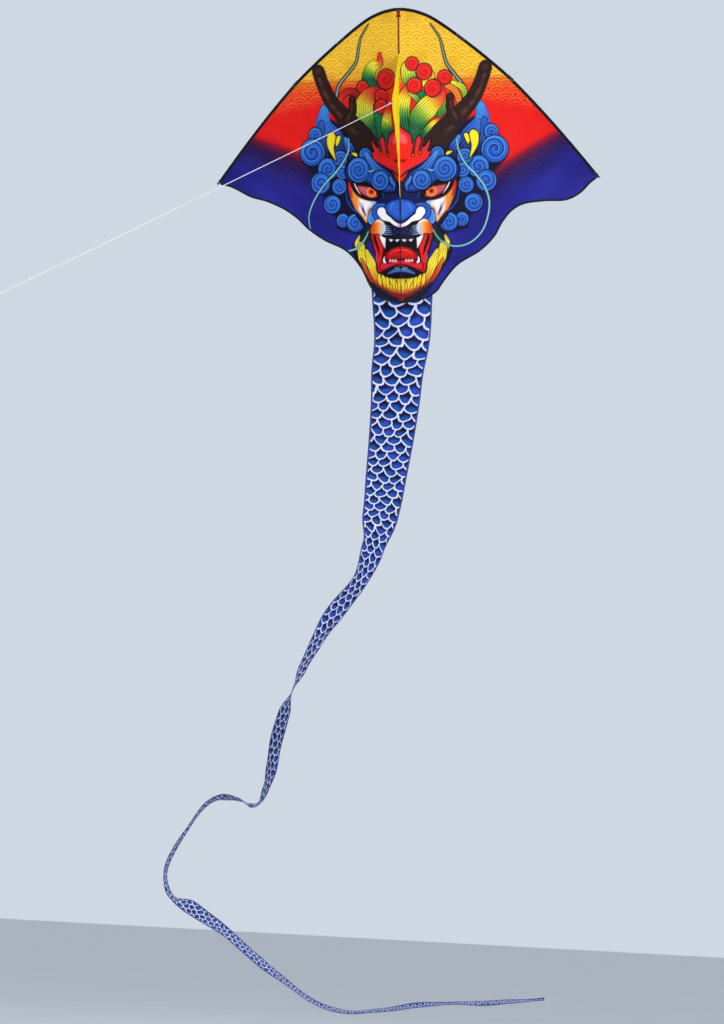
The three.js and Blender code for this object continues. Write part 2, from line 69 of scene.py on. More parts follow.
FRONT = np.array([0, -math.cos(LEAN), -math.sin(LEAN)])
DOWN = np.array([0, math.sin(LEAN), -math.cos(LEAN)])
NOSE = -KEEL_DEPTH * FRONT - TOW_DROP * DOWN


def ink(red, green, blue):
    return np.array((red, green, blue)) / 255


def unit(v):
    return v / np.linalg.norm(v, axis=-1, keepdims=True)


def smoothstep(t):
    t = np.clip(t, 0, 1)
    return t * t * (3 - 2 * t)


def catmull(points, pieces=8, closed=False):
    """Points of a centripetal Catmull-Rom curve through the given ones."""
    p = np.array(points, float)
    if closed:
        p = np.vstack((p[-1:], p, p[:2]))
    else:
        p = np.vstack((2 * p[:1] - p[1:2], p, 2 * p[-1:] - p[-2:-1]))
    gap = np.maximum(np.linalg.norm(np.diff(p, axis=0), axis=1) ** 0.5, 1e-4)[:, None]
    t = np.linspace(0, 1, pieces, endpoint=False)[:, None]
    out = []
    for i in range(1, len(p) - 2):
        a, b, c = gap[i - 1], gap[i], gap[i + 1]
        p0, p1, p2, p3 = p[i - 1:i + 3]
        m1 = ((p1 - p0) / a - (p2 - p0) / (a + b) + (p2 - p1) / b) * b
        m2 = ((p2 - p1) / b - (p3 - p1) / (b + c) + (p3 - p2) / c) * b
        out.append(p1 + m1 * t + (3 * (p2 - p1) - 2 * m1 - m2) * t**2 + (2 * (p1 - p2) + m1 + m2) * t**3)
    out = np.vstack(out)
    return out if closed else np.vstack((out, p[-2:-1]))


def lengths_along(points):
    return np.concatenate(([0], np.cumsum(np.linalg.norm(np.diff(points, axis=0), axis=1))))


def at_distances(points, distances):
    along = lengths_along(points)
    return np.stack([np.interp(distances, along, points[:, k]) for k in range(points.shape[1])], 1)


# ---------------------------------------------------------------- camera
CAMERA_PLACE = Vector((0.758, -5.515, -3.516))
CAMERA_TURN, CAMERA_RISE, CAMERA_ROLL = (math.radians(a) for a in (8.20, 16.17, 3.12))


def add_camera():
    a, e, roll = CAMERA_TURN, CAMERA_RISE, CAMERA_ROLL
    ahead = Vector((-math.sin(a) * math.cos(e), math.cos(a) * math.cos(e), math.sin(e)))
    level = ahead.cross(Vector((0, 0, 1))).normalized()
    above = level.cross(ahead)
    right = math.cos(roll) * level + math.sin(roll) * above
    up = -math.sin(roll) * level + math.cos(roll) * above
    lens = bpy.data.cameras.new("camera")
    lens.lens = 50
    lens.sensor_width = 36
    lens.clip_end = 100
    camera = bpy.data.objects.new("camera", lens)
    turn = Matrix((right, up, -ahead)).transposed().to_4x4()
    camera.matrix_world = Matrix.Translation(CAMERA_PLACE) @ turn
    bpy.context.scene.collection.objects.link(camera)
    bpy.context.scene.camera = camera


add_camera()


# ---------------------------------------------------------------- materials
def linear(colour):
    """Display colour, 0 to 255, as scene-linear values."""
    c = np.asarray(colour, float) / 255
    return np.where(c <= 0.04045, c / 12.92, ((c + 0.055) / 1.055) ** 2.4)


class Look:
    """A principled material with small helpers for its nodes."""

    def __init__(self, name, roughness=0.5, metallic=0.0, sheen=0.0, specular=0.5, coat=0.0):
        self.material = bpy.data.materials.new(name)
        self.material.use_nodes = True
        self.tree = self.material.node_tree
        self.shader = self.tree.nodes["Principled BSDF"]
        self.shader.inputs["Roughness"].default_value = roughness
        self.shader.inputs["Metallic"].default_value = metallic
        self.shader.inputs["Sheen Weight"].default_value = sheen
        self.shader.inputs["Specular IOR Level"].default_value = specular
        self.shader.inputs["Coat Weight"].default_value = coat
        self.place = self.node("ShaderNodeTexCoord").outputs["Object"]

    def node(self, kind, **settings):
        made = self.tree.nodes.new(kind)
        for key, value in settings.items():
            if key in made.inputs:
                self.set(made.inputs[key], value)
            else:
                setattr(made, key, value)
        return made

    def set(self, socket, value):
        if isinstance(value, bpy.types.NodeSocket):
            self.tree.links.new(value, socket)
        else:
            socket.default_value = value

    def maths(self, operation, a, b=0.0, c=0.0):
        made = self.node("ShaderNodeMath", operation=operation)
        for socket, value in zip(made.inputs, (a, b, c)):
            self.set(socket, value)
        return made.outputs[0]

    def noise(self, scale, detail=3.0, stretch=(1, 1, 1)):
        moved = self.node("ShaderNodeMapping", Vector=self.place, Scale=stretch)
        made = self.node("ShaderNodeTexNoise", Vector=moved.outputs[0], Scale=scale, Detail=detail)
        return made.outputs["Fac"]

    def threads(self, pitch, direction):
        """Waves of the given pitch, in metres, along one axis."""
        made = self.node("ShaderNodeTexWave", wave_type="BANDS", bands_direction=direction,
                         Vector=self.place, Scale=1 / pitch / 3.18, Distortion=0.0)
        return made.outputs["Fac"]

    def mix(self, fac, a, b, mode="MIX"):
        made = self.node("ShaderNodeMix", data_type="RGBA", blend_type=mode)
        self.set(made.inputs[0], fac)
        self.set(made.inputs[6], a)
        self.set(made.inputs[7], b)
        return made.outputs[2]

    def ramp(self, fac, low, high):
        made = self.node("ShaderNodeMapRange", Value=fac)
        made.inputs["To Min"].default_value = low
        made.inputs["To Max"].default_value = high
        return made.outputs[0]

    def bump(self, height, strength, distance=0.0005):
        made = self.node("ShaderNodeBump", Height=height, Strength=strength, Distance=distance)
        self.tree.links.new(made.outputs[0], self.shader.inputs["Normal"])

    def colour(self, value):
        self.set(self.shader.inputs["Base Color"], value)

    def rough(self, fac, low, high):
        self.set(self.shader.inputs["Roughness"], self.ramp(fac, low, high))


def rgba(colour):
    return (*linear(colour), 1.0)


def woven(look, pitch=0.0011, strength=0.35, grid=0.006):
    """A plain weave with the heavier threads of ripstop cloth."""
    fine = look.maths("MULTIPLY", look.threads(pitch, "X"), look.threads(pitch, "Z"))
    heavy = look.maths("MAXIMUM", look.threads(grid, "X"), look.threads(grid, "Z"))
    heavy = look.maths("POWER", heavy, 14.0)
    weave = look.maths("MULTIPLY_ADD", heavy, 0.6, fine)
    look.bump(weave, strength)
    return weave


def printed_cloth():
    look = Look("printed_cloth", sheen=0.02, specular=0.08)
    look.shader.inputs["Sheen Roughness"].default_value = 0.4
    ink = look.node("ShaderNodeVertexColor", layer_name="print").outputs["Color"]
    weave = woven(look)
    tone = look.ramp(look.noise(9.0), 0.93, 1.05)
    fibre = look.ramp(weave, 0.94, 1.03)
    shade = look.maths("MULTIPLY", tone, fibre)
    tint = look.node("ShaderNodeCombineColor")
    for socket in tint.inputs[:3]:
        look.set(socket, shade)
    look.colour(look.mix(1.0, ink, tint.outputs[0], "MULTIPLY"))
    look.rough(look.noise(40.0), 0.42, 0.62)
    return look.material


def plain_cloth(name, base, worn, sheen=0.25, pitch=0.0014, roughness=(0.6, 0.85), strength=0.5,
                specular=0.25):
    look = Look(name, sheen=sheen, specular=specular)
    weave = woven(look, pitch, strength, grid=0.008)
    patchy = look.noise(30.0, 4.0)
    colour = look.mix(look.ramp(patchy, 0.0, 1.0), rgba(base), rgba(worn))
    look.colour(look.mix(look.ramp(weave, 0.25, 0.0), colour, rgba([c * 0.6 for c in base])))
    look.rough(patchy, *roughness)
    return look.material


def rod_look():
    look = Look("fibreglass", specular=0.6, coat=0.3)
    streaks = look.noise(120.0, 5.0, (1, 1, 0.06))
    look.colour(look.mix(streaks, rgba((14, 14, 17)), rgba((46, 46, 52))))
    look.rough(look.noise(60.0), 0.25, 0.5)
    look.bump(streaks, 0.2, 0.0002)
    return look.material


def metal_look(name, base, dull):
    look = Look(name, metallic=1.0)
    rings = look.noise(150.0, 5.0, (1, 1, 0.12))
    look.colour(look.mix(look.noise(25.0), rgba(base), rgba(dull)))
    look.rough(rings, 0.22, 0.5)
    look.bump(rings, 0.15, 0.0002)
    return look.material


def rubber_look(name, base, worn, roughness):
    look = Look(name, specular=0.35)
    grain = look.noise(700.0, 4.0)
    look.colour(look.mix(look.noise(35.0), rgba(base), rgba(worn)))
    look.rough(grain, *roughness)
    look.bump(grain, 0.35, 0.0003)
    return look.material


def braid_look():
    look = Look("braided_line", sheen=0.2, specular=0.3)
    strands = look.maths("MULTIPLY", look.threads(0.0019, "X"), look.threads(0.0013, "Z"))
    look.colour(look.mix(strands, rgba((196, 194, 186)), rgba((250, 250, 246))))
    look.rough(look.noise(90.0), 0.55, 0.8)
    look.bump(strands, 0.6, 0.0004)
    return look.material


LOOKS = {
    "print": printed_cloth(),
    "edging": plain_cloth("black_webbing", (8, 8, 11), (24, 24, 28), sheen=0.06, specular=0.12),
    "keel": plain_cloth("yellow_cloth", (255, 222, 0), (255, 230, 10), 0.02, 0.0011, (0.45, 0.65), 0.3,
                        specular=0.08),
    "patch": plain_cloth("red_tape", (150, 22, 20), (112, 14, 16)),
    "seam": plain_cloth("seam_tape", (150, 66, 12), (120, 48, 10)),
    "thread": plain_cloth("sewing_thread", (66, 66, 72), (96, 96, 104), 0.1, 0.0008),
    "hem": plain_cloth("tail_hem", (58, 70, 150), (40, 50, 120)),
    "rod": rod_look(),
    "ferrule": rubber_look("black_ferrule", (16, 16, 18), (40, 40, 44), (0.3, 0.5)),
    "brass": metal_look("plated_brass", (206, 178, 120), (160, 132, 82)),
    "rubber": rubber_look("moulded_rubber", (12, 12, 13), (34, 34, 36), (0.55, 0.8)),
    "line": braid_look(),
}


def dress_frame():
    """The frame's own rods, ferrules and fittings keep their shape and take finished materials."""
    finishes = {
        "rod": "rod", "ferrule": "ferrule", "patch": "keel", "fitting": "rubber", "nock": "rubber",
        "cap": "rubber", "eyelet": "brass", "tab": "edging", "hem": "edging", "loop": "line", "knot": "line",
    }
    for name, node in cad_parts.items():
        for word, finish in finishes.items():
            if word in name:
                node.data.materials.clear()
                node.data.materials.append(LOOKS[finish])


dress_frame()


# ---------------------------------------------------------------- mesh helpers
def add_mesh(name, points, faces, look, slot):
    mesh = bpy.data.meshes.new(name)
    mesh.from_pydata([tuple(p) for p in np.asarray(points)], [], [tuple(int(i) for i in f) for f in faces])
    mesh.update()
    mesh.materials.append(LOOKS[look])
    mesh.polygons.foreach_set("use_smooth", [True] * len(mesh.polygons))
    piece = bpy.data.objects.new(name, mesh)
    bpy.context.scene.collection.objects.link(piece)
    return piece


def grid_faces(rows, columns, start=0, wrap=False):
    """Quads of a rows by columns grid of points. wrap closes each row on itself."""
    across = columns if wrap else columns - 1
    r, c = np.meshgrid(np.arange(rows - 1), np.arange(across), indexing="ij")
    a = start + r * columns + c
    b = start + r * columns + (c + 1) % columns
    return np.stack((a, b, b + columns, a + columns), -1).reshape(-1, 4)


def sweep(sections):
    """Points and faces of a closed tube through equal sections, with both ends capped."""
    rows, sides = sections.shape[:2]
    faces = [tuple(f) for f in grid_faces(rows, sides, wrap=True)]
    faces.append(tuple(range(sides))[::-1])
    faces.append(tuple(range((rows - 1) * sides, rows * sides)))
    return sections.reshape(-1, 3), faces


def joined(parts):
    """One list of points and faces from several."""
    points, faces, start = [], [], 0
    for p, f in parts:
        points.append(np.asarray(p))
        faces += [tuple(i + start for i in face) for face in f]
        start += len(p)
    return np.vstack(points), faces


def stitches(path, normal, pitch=4.2, length=2.9, radius=0.42):
    """A row of small raised stitches along a path, on the side that normal points to; sizes in millimetres."""
    pitch, length, radius = pitch * MM, length * MM, radius * MM
    normal = np.broadcast_to(normal, path.shape)
    along = lengths_along(path)
    places = np.arange(pitch / 2, along[-1] - pitch / 2, pitch)
    middle = at_distances(path, places)
    aim = unit(at_distances(path, places + 0.3 * pitch) - at_distances(path, places - 0.3 * pitch))
    up = at_distances_of(normal, along, places)
    side = unit(np.cross(aim, up))
    ring = [(0.5, 0), (0.3, 0.9), (0, 1), (-0.3, 0.9), (-0.5, 0)]
    arc = np.linspace(0, math.pi, 4)
    parts = []
    for reach, size in ring:
        centre = middle + aim * (reach * length)
        for a in arc:
            parts.append(centre + radius * size * (side * math.cos(a) + up * math.sin(a)))
    points = np.stack(parts, 1)
    count = len(ring) * len(arc)
    faces = np.vstack([grid_faces(len(ring), len(arc), k * count) for k in range(len(places))])
    return points.reshape(-1, 3), faces


def at_distances_of(directions, along, places):
    return unit(np.stack([np.interp(places, along, directions[:, k]) for k in range(3)], 1))


def add_strip(name, ring, look, slot):
    """A closed strip or sleeve, from the lines that run along it in turn round its outline."""
    return add_mesh(name, *sweep(np.stack(ring, 1)), look, slot)


def add_thread(name, seams, slot, look="thread", *sizes):
    """One piece with a row of stitches along each path, on the side that its normal points to."""
    return add_mesh(name, *joined([stitches(path, normal, *sizes) for path, normal in seams]), look, slot)


def folded(front, fold, inner):
    """An edge folded over: (reach, depth) round its outline from its front side, its fold and its inner end."""
    return [(reach, -depth) for reach, depth in front] + [(fold, 0)] + front[::-1] + [(inner, 0)]


# ---------------------------------------------------------------- flying line
# The route from the knot at the eyelet to the flier's end, in millimetres.
LINE_ROUTE = [
    (-9, -22, -21), (-60, -144, -136), (-120, -287, -271), (-180, -430, -406), (-240, -573, -540),
    (-300, -716, -674), (-360, -860, -808), (-420, -1003, -942), (-480, -1146, -1076),
    (-540, -1290, -1210), (-600, -1433, -1344), (-660, -1576, -1477), (-720, -1719, -1610),
    (-780, -1863, -1743), (-835, -1994, -1865), (-852, -2035, -1903),
]


def add_line():
    route = catmull(LINE_ROUTE, 6) * MM
    curve = bpy.data.curves.new("flying_line_braid", "CURVE")
    curve.dimensions = "3D"
    curve.bevel_depth = LINE_DIAMETER / 2
    curve.bevel_resolution = 3
    spline = curve.splines.new("POLY")
    spline.points.add(len(route) - 1)
    for point, place in zip(spline.points, route):
        point.co = (*place, 1)
    curve.materials.append(LOOKS["line"])
    line = bpy.data.objects.new("flying_line_braid", curve)
    bpy.context.scene.collection.objects.link(line)
    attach(line, "line")
    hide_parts("flying_line")


add_line()


# ---------------------------------------------------------------- sail shape
LEADING_EDGE = [
    (12.6, 1.5), (75, 11), (145, 36), (205, 71), (277, 120), (400, 211), (520, 310), (665, 452),
    (805, 602), (940, 755),
]
TRAILING_EDGE = {
    "right": [
        (WING_REACH, 766), (912, 788), (860, 838), (796, 868), (685, 872), (589, 884), (537, 911), (489, 966),
        (451, 1030), (384, 1095), (272, 1163), (200, 1246), (172, 1284), (100, 1322), (14, CHIN),
    ],
    "left": [
        (WING_REACH, 766), (880, 782), (773, 832), (687, 854), (603, 890), (535, 936), (479, 986), (385, 1042),
        (282, 1090), (207, 1172), (160, 1256), (130, 1292), (80, 1322), (14, CHIN),
    ],
}
FLUTTER = {"right": 5, "left": 9}
FLUTTER_WAVES = 3
LEADING_INSET = 7           # the printed cloth stops under the sleeve's lip
TRAILING_INSET = 1
FITTING = np.array([520, 310])
LEADING = catmull(LEADING_EDGE, 24)
TRAILING = {name: catmull(points, 24) for name, points in TRAILING_EDGE.items()}


def inward(path):
    along = unit(np.gradient(path, axis=0))
    return np.stack((-along[:, 1], along[:, 0]), 1)


def column_ends(name, x):
    """Where the cloth starts and stops, down from the nose, at distances x out from the spine."""
    top = LEADING + inward(LEADING) * LEADING_INSET
    low = (TRAILING[name] + inward(TRAILING[name]) * TRAILING_INSET)[::-1]
    return np.interp(x, top[:, 0], top[:, 1]), np.interp(x, low[:, 0], low[:, 1])


def cloth_back(name, x, w):
    """How far the wind fills the cloth behind the wing's plane."""
    top, low = column_ends(name, x)
    t = np.clip((w - top) / np.maximum(low - top, 1), 0, 1)
    back = BILLOW * np.sin(np.pi * np.clip(x / WING_REACH, 0, 1)) * np.sin(0.96 * np.pi * t)
    path = TRAILING[name]
    share = lengths_along(path) / lengths_along(path)[-1]
    place = np.interp(x, path[::-1, 0], share[::-1])
    wave = FLUTTER[name] * np.sin(FLUTTER_WAVES * 2 * np.pi * place) * np.sin(np.pi * place)
    back += wave * smoothstep((t - 0.72) / 0.28)
    free = np.sin(np.pi * t) * smoothstep(x / 60)
    return back + free * creases(name, x, w)


def creases(name, x, w):
    """Shallow tension folds from the spreader fitting, across the outer wing and beside the spine."""
    side = SIDES[name]
    reach = np.hypot(x - FITTING[0], w - FITTING[1])
    angle = np.arctan2(w - FITTING[1], FITTING[0] - x)
    fan = np.sin(11 * angle + side) * np.exp(-((reach - 150) / 150) ** 2)
    outer = np.sin((x * 0.72 + w * 0.69) / 17 + 1.7 * np.sin(w / 90)) * smoothstep((x - 430) / 160)
    loose = np.sin(x / 41 + 2.1 * np.sin(w / 150 + side)) * np.sin(w / 67 + 1.3 * np.sin(x / 83))
    tucks = np.sin(w / 13 + x / 30) * np.exp(-((x - 45) / 40) ** 2)
    return 1.8 * fan + 1.5 * outer + 1.9 * loose + 0.4 * tucks


def wing_point(side, x, w, back):
    """Row-frame points, in metres, of places on a wing given in millimetres."""
    out = np.array([side * math.cos(DIHEDRAL), 0, 0]) - FRONT * math.sin(DIHEDRAL)
    behind = np.array([-side * math.sin(DIHEDRAL), 0, 0]) - FRONT * math.cos(DIHEDRAL)
    x, w, back = (np.asarray(v, float)[..., None] for v in (x, w, back))
    return (NOSE + x * out + w * DOWN + back * behind) * MM


def on_spine(x, w, back):
    """Row-frame points, in metres, of places across, down and behind the spine, given in millimetres."""
    x, w, back = (v[..., None] for v in np.broadcast_arrays(*(np.asarray(v, float) for v in (x, w, back))))
    return (NOSE + x * np.array([1, 0, 0]) + w * DOWN - back * FRONT) * MM


def bend_with_wing(piece):
    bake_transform(piece)


INNER_COLUMNS = np.concatenate((np.linspace(0, 250, 98, endpoint=False), np.linspace(250, 505, 82)))
OUTER_COLUMNS = 96
SAIL_ROWS = 440             # even, because the outer columns have half as many
NARROWEST = 7               # the last column's height at the wing tip


def sail_layout(name):
    """Flat places of the sail half's points, and its faces."""
    tip = WING_REACH
    while np.diff(column_ends(name, tip)).item() < NARROWEST:
        tip -= 1
    outer = np.linspace(INNER_COLUMNS[-1], tip, OUTER_COLUMNS + 1)[1:]
    places, half = [], SAIL_ROWS // 2
    for columns, rows in ((INNER_COLUMNS, SAIL_ROWS), (outer, half)):
        top, low = column_ends(name, columns)
        t = np.linspace(0, 1, rows + 1)
        w = top[:, None] + (low - top)[:, None] * t
        places.append(np.stack((np.broadcast_to(columns[:, None], w.shape), w), -1).reshape(-1, 2))
    start = len(places[0])
    last = start - SAIL_ROWS - 1
    faces = [tuple(f) for f in grid_faces(len(INNER_COLUMNS), SAIL_ROWS + 1)]
    for k in range(half):
        a = last + 2 * k
        faces.append((a, a + 1, a + 2, start + k + 1, start + k))
    faces += [tuple(f) for f in grid_faces(OUTER_COLUMNS, half + 1, start)]
    if SIDES[name] > 0:
        faces = [face[::-1] for face in faces]
    return np.vstack(places), faces


# ---------------------------------------------------------------- painting on cloth
EDGE = 2.6                  # softness of a printed edge, in millimetres
BLACK = ink(10, 9, 16)
NAVY = ink(18, 22, 78)
BLUE = ink(28, 78, 178)
SKY = ink(58, 132, 222)
PALE_BLUE = ink(120, 186, 240)
WHITE = ink(246, 240, 246)
RED = ink(228, 28, 24)
DEEP_RED = ink(150, 12, 20)
ORANGE = ink(236, 122, 30)
YELLOW = ink(248, 222, 40)
OCHRE = ink(196, 132, 24)
GREEN = ink(12, 92, 52)
LEAF = ink(120, 170, 40)
LIME = ink(222, 222, 60)
BARK = ink(44, 26, 24)
BARK_LIGHT = ink(112, 66, 50)
TEAL = ink(112, 178, 176)


def gradient(places, stops):
    """Colours at places from 0 to 1, from (place, colour) stops."""
    at = [s[0] for s in stops]
    return np.stack([np.interp(places, at, [s[1][k] for s in stops]) for k in range(3)], -1)


class Print:
    """Paints cloth at its points, in millimetres: x across the cloth and w down it."""

    def __init__(self, x, w, ink=None):
        self.x, self.w = x, w
        self.ink = np.zeros((len(x), 3)) if ink is None else ink

    def mirrored(self):
        """The same cloth with both halves painted at once."""
        return Print(np.abs(self.x), self.w, self.ink)

    def seen_from(self, side):
        """The same cloth with x running out over one half, which is 1 for the right and -1 for the left."""
        return Print(side * self.x, self.w, self.ink)

    def near(self, points, margin):
        low, high = points.min(0) - margin, points.max(0) + margin
        hit = (self.x > low[0]) & (self.x < high[0]) & (self.w > low[1]) & (self.w < high[1])
        return np.flatnonzero(hit)

    def lay(self, spots, colour, strength):
        self.ink[spots] += (colour - self.ink[spots]) * np.clip(strength, 0, 1)[:, None]

    def about(self, x, w, reach, squash=1.0):
        """Points near a place, and their distances from it."""
        spots = self.near(np.array([(x, w)], float), reach)
        return spots, np.hypot(self.x[spots] - x, (self.w[spots] - w) * squash)

    def area(self, corners):
        """Nearby points, and how far each lies inside a rounded outline, negative outside it."""
        outline = catmull(corners, 5, closed=True)
        spots = self.near(outline, 10)
        px, pw = self.x[spots], self.w[spots]
        best = np.full(len(spots), 1e9)
        inside = np.zeros(len(spots), bool)
        for (ax, aw), (bx, bw) in zip(outline, np.roll(outline, -1, 0)):
            ex, ew = bx - ax, bw - aw
            t = np.clip(((px - ax) * ex + (pw - aw) * ew) / max(ex * ex + ew * ew, 1e-9), 0, 1)
            best = np.minimum(best, (px - ax - t * ex) ** 2 + (pw - aw - t * ew) ** 2)
            if ew:
                crosses = (aw > pw) != (bw > pw)
                inside ^= crosses & (px < ax + (pw - aw) * ex / ew)
        return spots, np.where(inside, 1, -1) * np.sqrt(best)

    def fill(self, corners, core, rim=None, depth=18, line=None, width=4, soft=EDGE):
        """Paints an outline's inside, from its rim's colour to its core's, and a line round it."""
        spots, d = self.area(corners)
        colour = core
        if rim is not None:
            colour = rim + (core - rim) * smoothstep(d / depth)[:, None]
        self.lay(spots, colour, 0.5 + d / soft)
        if line is not None:
            self.lay(spots, line, 0.5 + (width / 2 - np.abs(d)) / EDGE)

    def along(self, points, widths):
        """Points near a tapering band on a curve, with three measures of each.

        They are its place along the curve, 0 to 1, its offset across the band, -1 to 1, and how far it lies
        inside the band's edge.
        """
        path = catmull(points, 6)
        share = lengths_along(path) / lengths_along(path)[-1]
        spots = self.near(path, max(widths) / 2 + 8)
        px, pw = self.x[spots], self.w[spots]
        best = np.full(len(spots), 1e9)
        place, offset = np.zeros(len(spots)), np.zeros(len(spots))
        for i in range(len(path) - 1):
            (ax, aw), (ex, ew) = path[i], path[i + 1] - path[i]
            size = math.hypot(ex, ew)
            t = np.clip(((px - ax) * ex + (pw - aw) * ew) / size**2, 0, 1)
            dx, dw = px - ax - t * ex, pw - aw - t * ew
            d = dx * dx + dw * dw
            closer = d < best
            best = np.where(closer, d, best)
            place = np.where(closer, share[i] + t * (share[i + 1] - share[i]), place)
            offset = np.where(closer, np.sign(ex * dw - ew * dx) * np.sqrt(d), offset)
        half = np.interp(place, np.linspace(0, 1, len(widths)), widths) / 2
        return spots, place, offset / half, half - np.abs(offset)

    def stroke(self, points, widths, colour, line=None, width=3):
        """A tapering band in one colour, with an outline where a line colour is given."""
        spots, _, q, d = self.along(points, widths)
        if line is not None:
            self.lay(spots, line, 0.5 + (d + width) / EDGE)
        self.lay(spots, colour, 0.5 + d / EDGE)
        return spots, q, d

    def lock(self, points, widths, stops, strands=5, line=BLACK, light=0.25):
        """A lock of hair: coloured along its length, with strands drawn along it."""
        spots, place, q, d = self.along(points, widths)
        colour = gradient(place, stops)
        wave = np.abs(((q + 1) * strands / 2 + 0.22 * np.sin(7 * place)) % 1 - 0.5) * 2
        fade = smoothstep(place / 0.12) * smoothstep((1 - place) / 0.3 + 0.25)
        colour = colour + (1 - colour) * (light * smoothstep((0.45 - wave) / 0.45) * (1 - q * q))[:, None]
        dark = smoothstep((wave - 0.72) / 0.28) * fade * 0.85
        colour = colour * (1 - dark[:, None]) + line * dark[:, None]
        self.lay(spots, line, 0.5 + (d + 2.5) / EDGE)
        self.lay(spots, colour, 0.5 + d / EDGE)

    def curl(self, x, w, r, hand=1, start=0.0, turns=2.3, core=SKY, body=BLUE, line=NAVY):
        """A round curl: a ball with a spiral drawn in it, lit along its upper edge."""
        spots, rho = self.about(x, w, r + 8)
        dx, dw = self.x[spots] - x, self.w[spots] - w
        phi = np.arctan2(dw, dx)
        lit = 0.5 - 0.5 * dw / r
        colour = body + (core - body) * (smoothstep(rho / r) * lit * 0.8)[:, None]
        wind = (rho / r * turns - hand * (phi - start) / (2 * np.pi)) % 1
        drawn = smoothstep((0.16 - np.abs(wind - 0.5)) / 0.12)
        glint = smoothstep((0.12 - np.abs(wind - 0.78)) / 0.1) * 0.55
        colour = colour + (PALE_BLUE - colour) * glint[:, None] if core is SKY else colour
        colour = colour + (line - colour) * (drawn * 0.8)[:, None]
        self.lay(spots, BLACK, 0.5 + (r + 4 - rho) / 6)
        self.lay(spots, colour, 0.5 + (r - rho) / EDGE)
        self.lay(spots, core, (0.5 + (1.6 - np.abs(rho - r + 3)) / EDGE) * 0.5)

    def waves(self, pitch, colour, strength, where):
        """Rows of overlapping round waves, each drawn with three rings."""
        r = pitch * 0.54
        step = pitch * 0.33
        spots = np.flatnonzero(where > 0.02)
        px, pw = self.x[spots], self.w[spots]
        row = np.floor((pw + r) / step)
        found = np.zeros(len(spots), bool)
        ring = np.zeros(len(spots))
        for back in range(0, 6):
            k = row - back
            shift = np.where(k % 2 == 0, 0.0, pitch / 2)
            cx = (np.floor((px - shift) / pitch) + 0.5) * pitch + shift
            rho = np.hypot(px - cx, pw - k * step)
            hit = (rho < r) & (pw < k * step + 0.3 * r) & ~found
            found |= hit
            near = np.min([np.abs(rho - r * share) for share in (0.95, 0.66, 0.37)], 0)
            ring = np.where(hit, smoothstep((3.2 - near) / 2.6), ring)
        self.lay(spots, colour, ring * strength * where[spots])


# ---------------------------------------------------------------- the dragon print, and a painted rod shadow
# ROD_SHADOW is a painted shadow: the line where the spreader rod shows darkly through the cloth.
ROD_SHADOW = [(0, 312), (260, 311), (518, 310)]   # the spreader rod, seen darkly through the light cloth
WAVE_PITCH = 84


def paint_background(cloth):
    """Yellow above the spreader, then red, then deep blue towards the wing tips and the chin, with a painted
    shadow of the spreader rod.
    """
    x, w = np.abs(cloth.x), cloth.w
    rise = np.where(cloth.x > 0, 0.58, 0.38) * (x - 480)
    cool = (w + rise - np.where(cloth.x > 0, 690, 636)) / 190
    sky = gradient((w - 262 + 0.03 * x) / 170, [
        (0, ink(228, 168, 26)), (0.24, ink(230, 146, 24)),
        (0.4, ink(226, 88, 22)), (0.66, ink(226, 46, 20)), (1, RED)])
    night = gradient(cool, [
        (0, ink(206, 20, 30)), (0.12, ink(132, 16, 44)),
        (0.26, ink(66, 18, 62)), (0.5, ink(30, 20, 82)),
        (1, ink(34, 32, 128))])
    cloth.ink[:] = sky + (night - sky) * smoothstep(cool / 0.24 + 0.5)[:, None]
    cloud = np.sin(x / 57 + 1.3 * np.sin(w / 71)) * np.sin(w / 43 + x / 90)
    deep = smoothstep((w + rise - 760) / 120)
    everywhere = np.arange(len(x))
    cloth.lay(everywhere, NAVY, 0.22 * deep * smoothstep(cloud))
    cloth.lay(everywhere, ink(44, 60, 168), 0.25 * deep * smoothstep(-cloud))
    gold = smoothstep((345 - w) / 60)
    edge = smoothstep((x - 330) / 60) * smoothstep((430 - w + 0.2 * (x - 400)) / 60)
    cloth.waves(WAVE_PITCH, ink(255, 222, 96), 0.8, np.maximum(gold, 0.5 * edge))
    rim = smoothstep(1 - np.abs(w + rise - 770) / 90) * smoothstep((x - 470) / 90)
    cloth.waves(WAVE_PITCH, ink(92, 60, 140), 0.4, rim)
    # Painted shadow: the spreader rod shows through the light cloth as a darker orange line on both halves.
    for side in SIDES.values():
        rod = cloth.seen_from(side)
        spots, _, _, d = rod.along(ROD_SHADOW, (5, 6, 6))
        rod.lay(spots, ink(176, 84, 18), 0.6 * smoothstep(0.5 + d / 3))
    cloth.lay(everywhere, OCHRE, 0.28 * gold * smoothstep(np.sin(w / 36 + x / 61) * np.sin(x / 48)))


def paint_feelers(cloth):
    """The thin feelers that rise from the head over the yellow cloth."""
    for side, route in (
        (-1, [(148, 62), (186, 119), (202, 177), (214, 225), (262, 281), (305, 325), (325, 395)]),
        (1, [(147, 68), (190, 130), (207, 190), (222, 240), (266, 296), (305, 345), (318, 385)]),
    ):
        half = cloth.seen_from(side)
        half.stroke(route, (4, 12, 15, 16), ink(58, 72, 52), BLACK, 2)
        half.stroke(route, (1, 4, 5, 7), ink(150, 176, 160))


HAIR = [(0, GREEN), (0.28, GREEN), (0.45, LEAF), (0.56, LIME), (0.66, YELLOW), (0.78, ORANGE), (0.9, RED),
        (1, RED)]
SHORT_HAIR = [(0, GREEN), (0.3, LEAF), (0.55, LIME), (0.8, YELLOW), (1, ORANGE)]
RED_HAIR = [(0, ORANGE), (0.35, RED), (1, DEEP_RED)]


def red_curl(cloth, x, w, r, hand=1, start=0.0):
    cloth.curl(x, w, r, hand, start, 1.6, core=ink(240, 60, 44), body=RED, line=DEEP_RED)


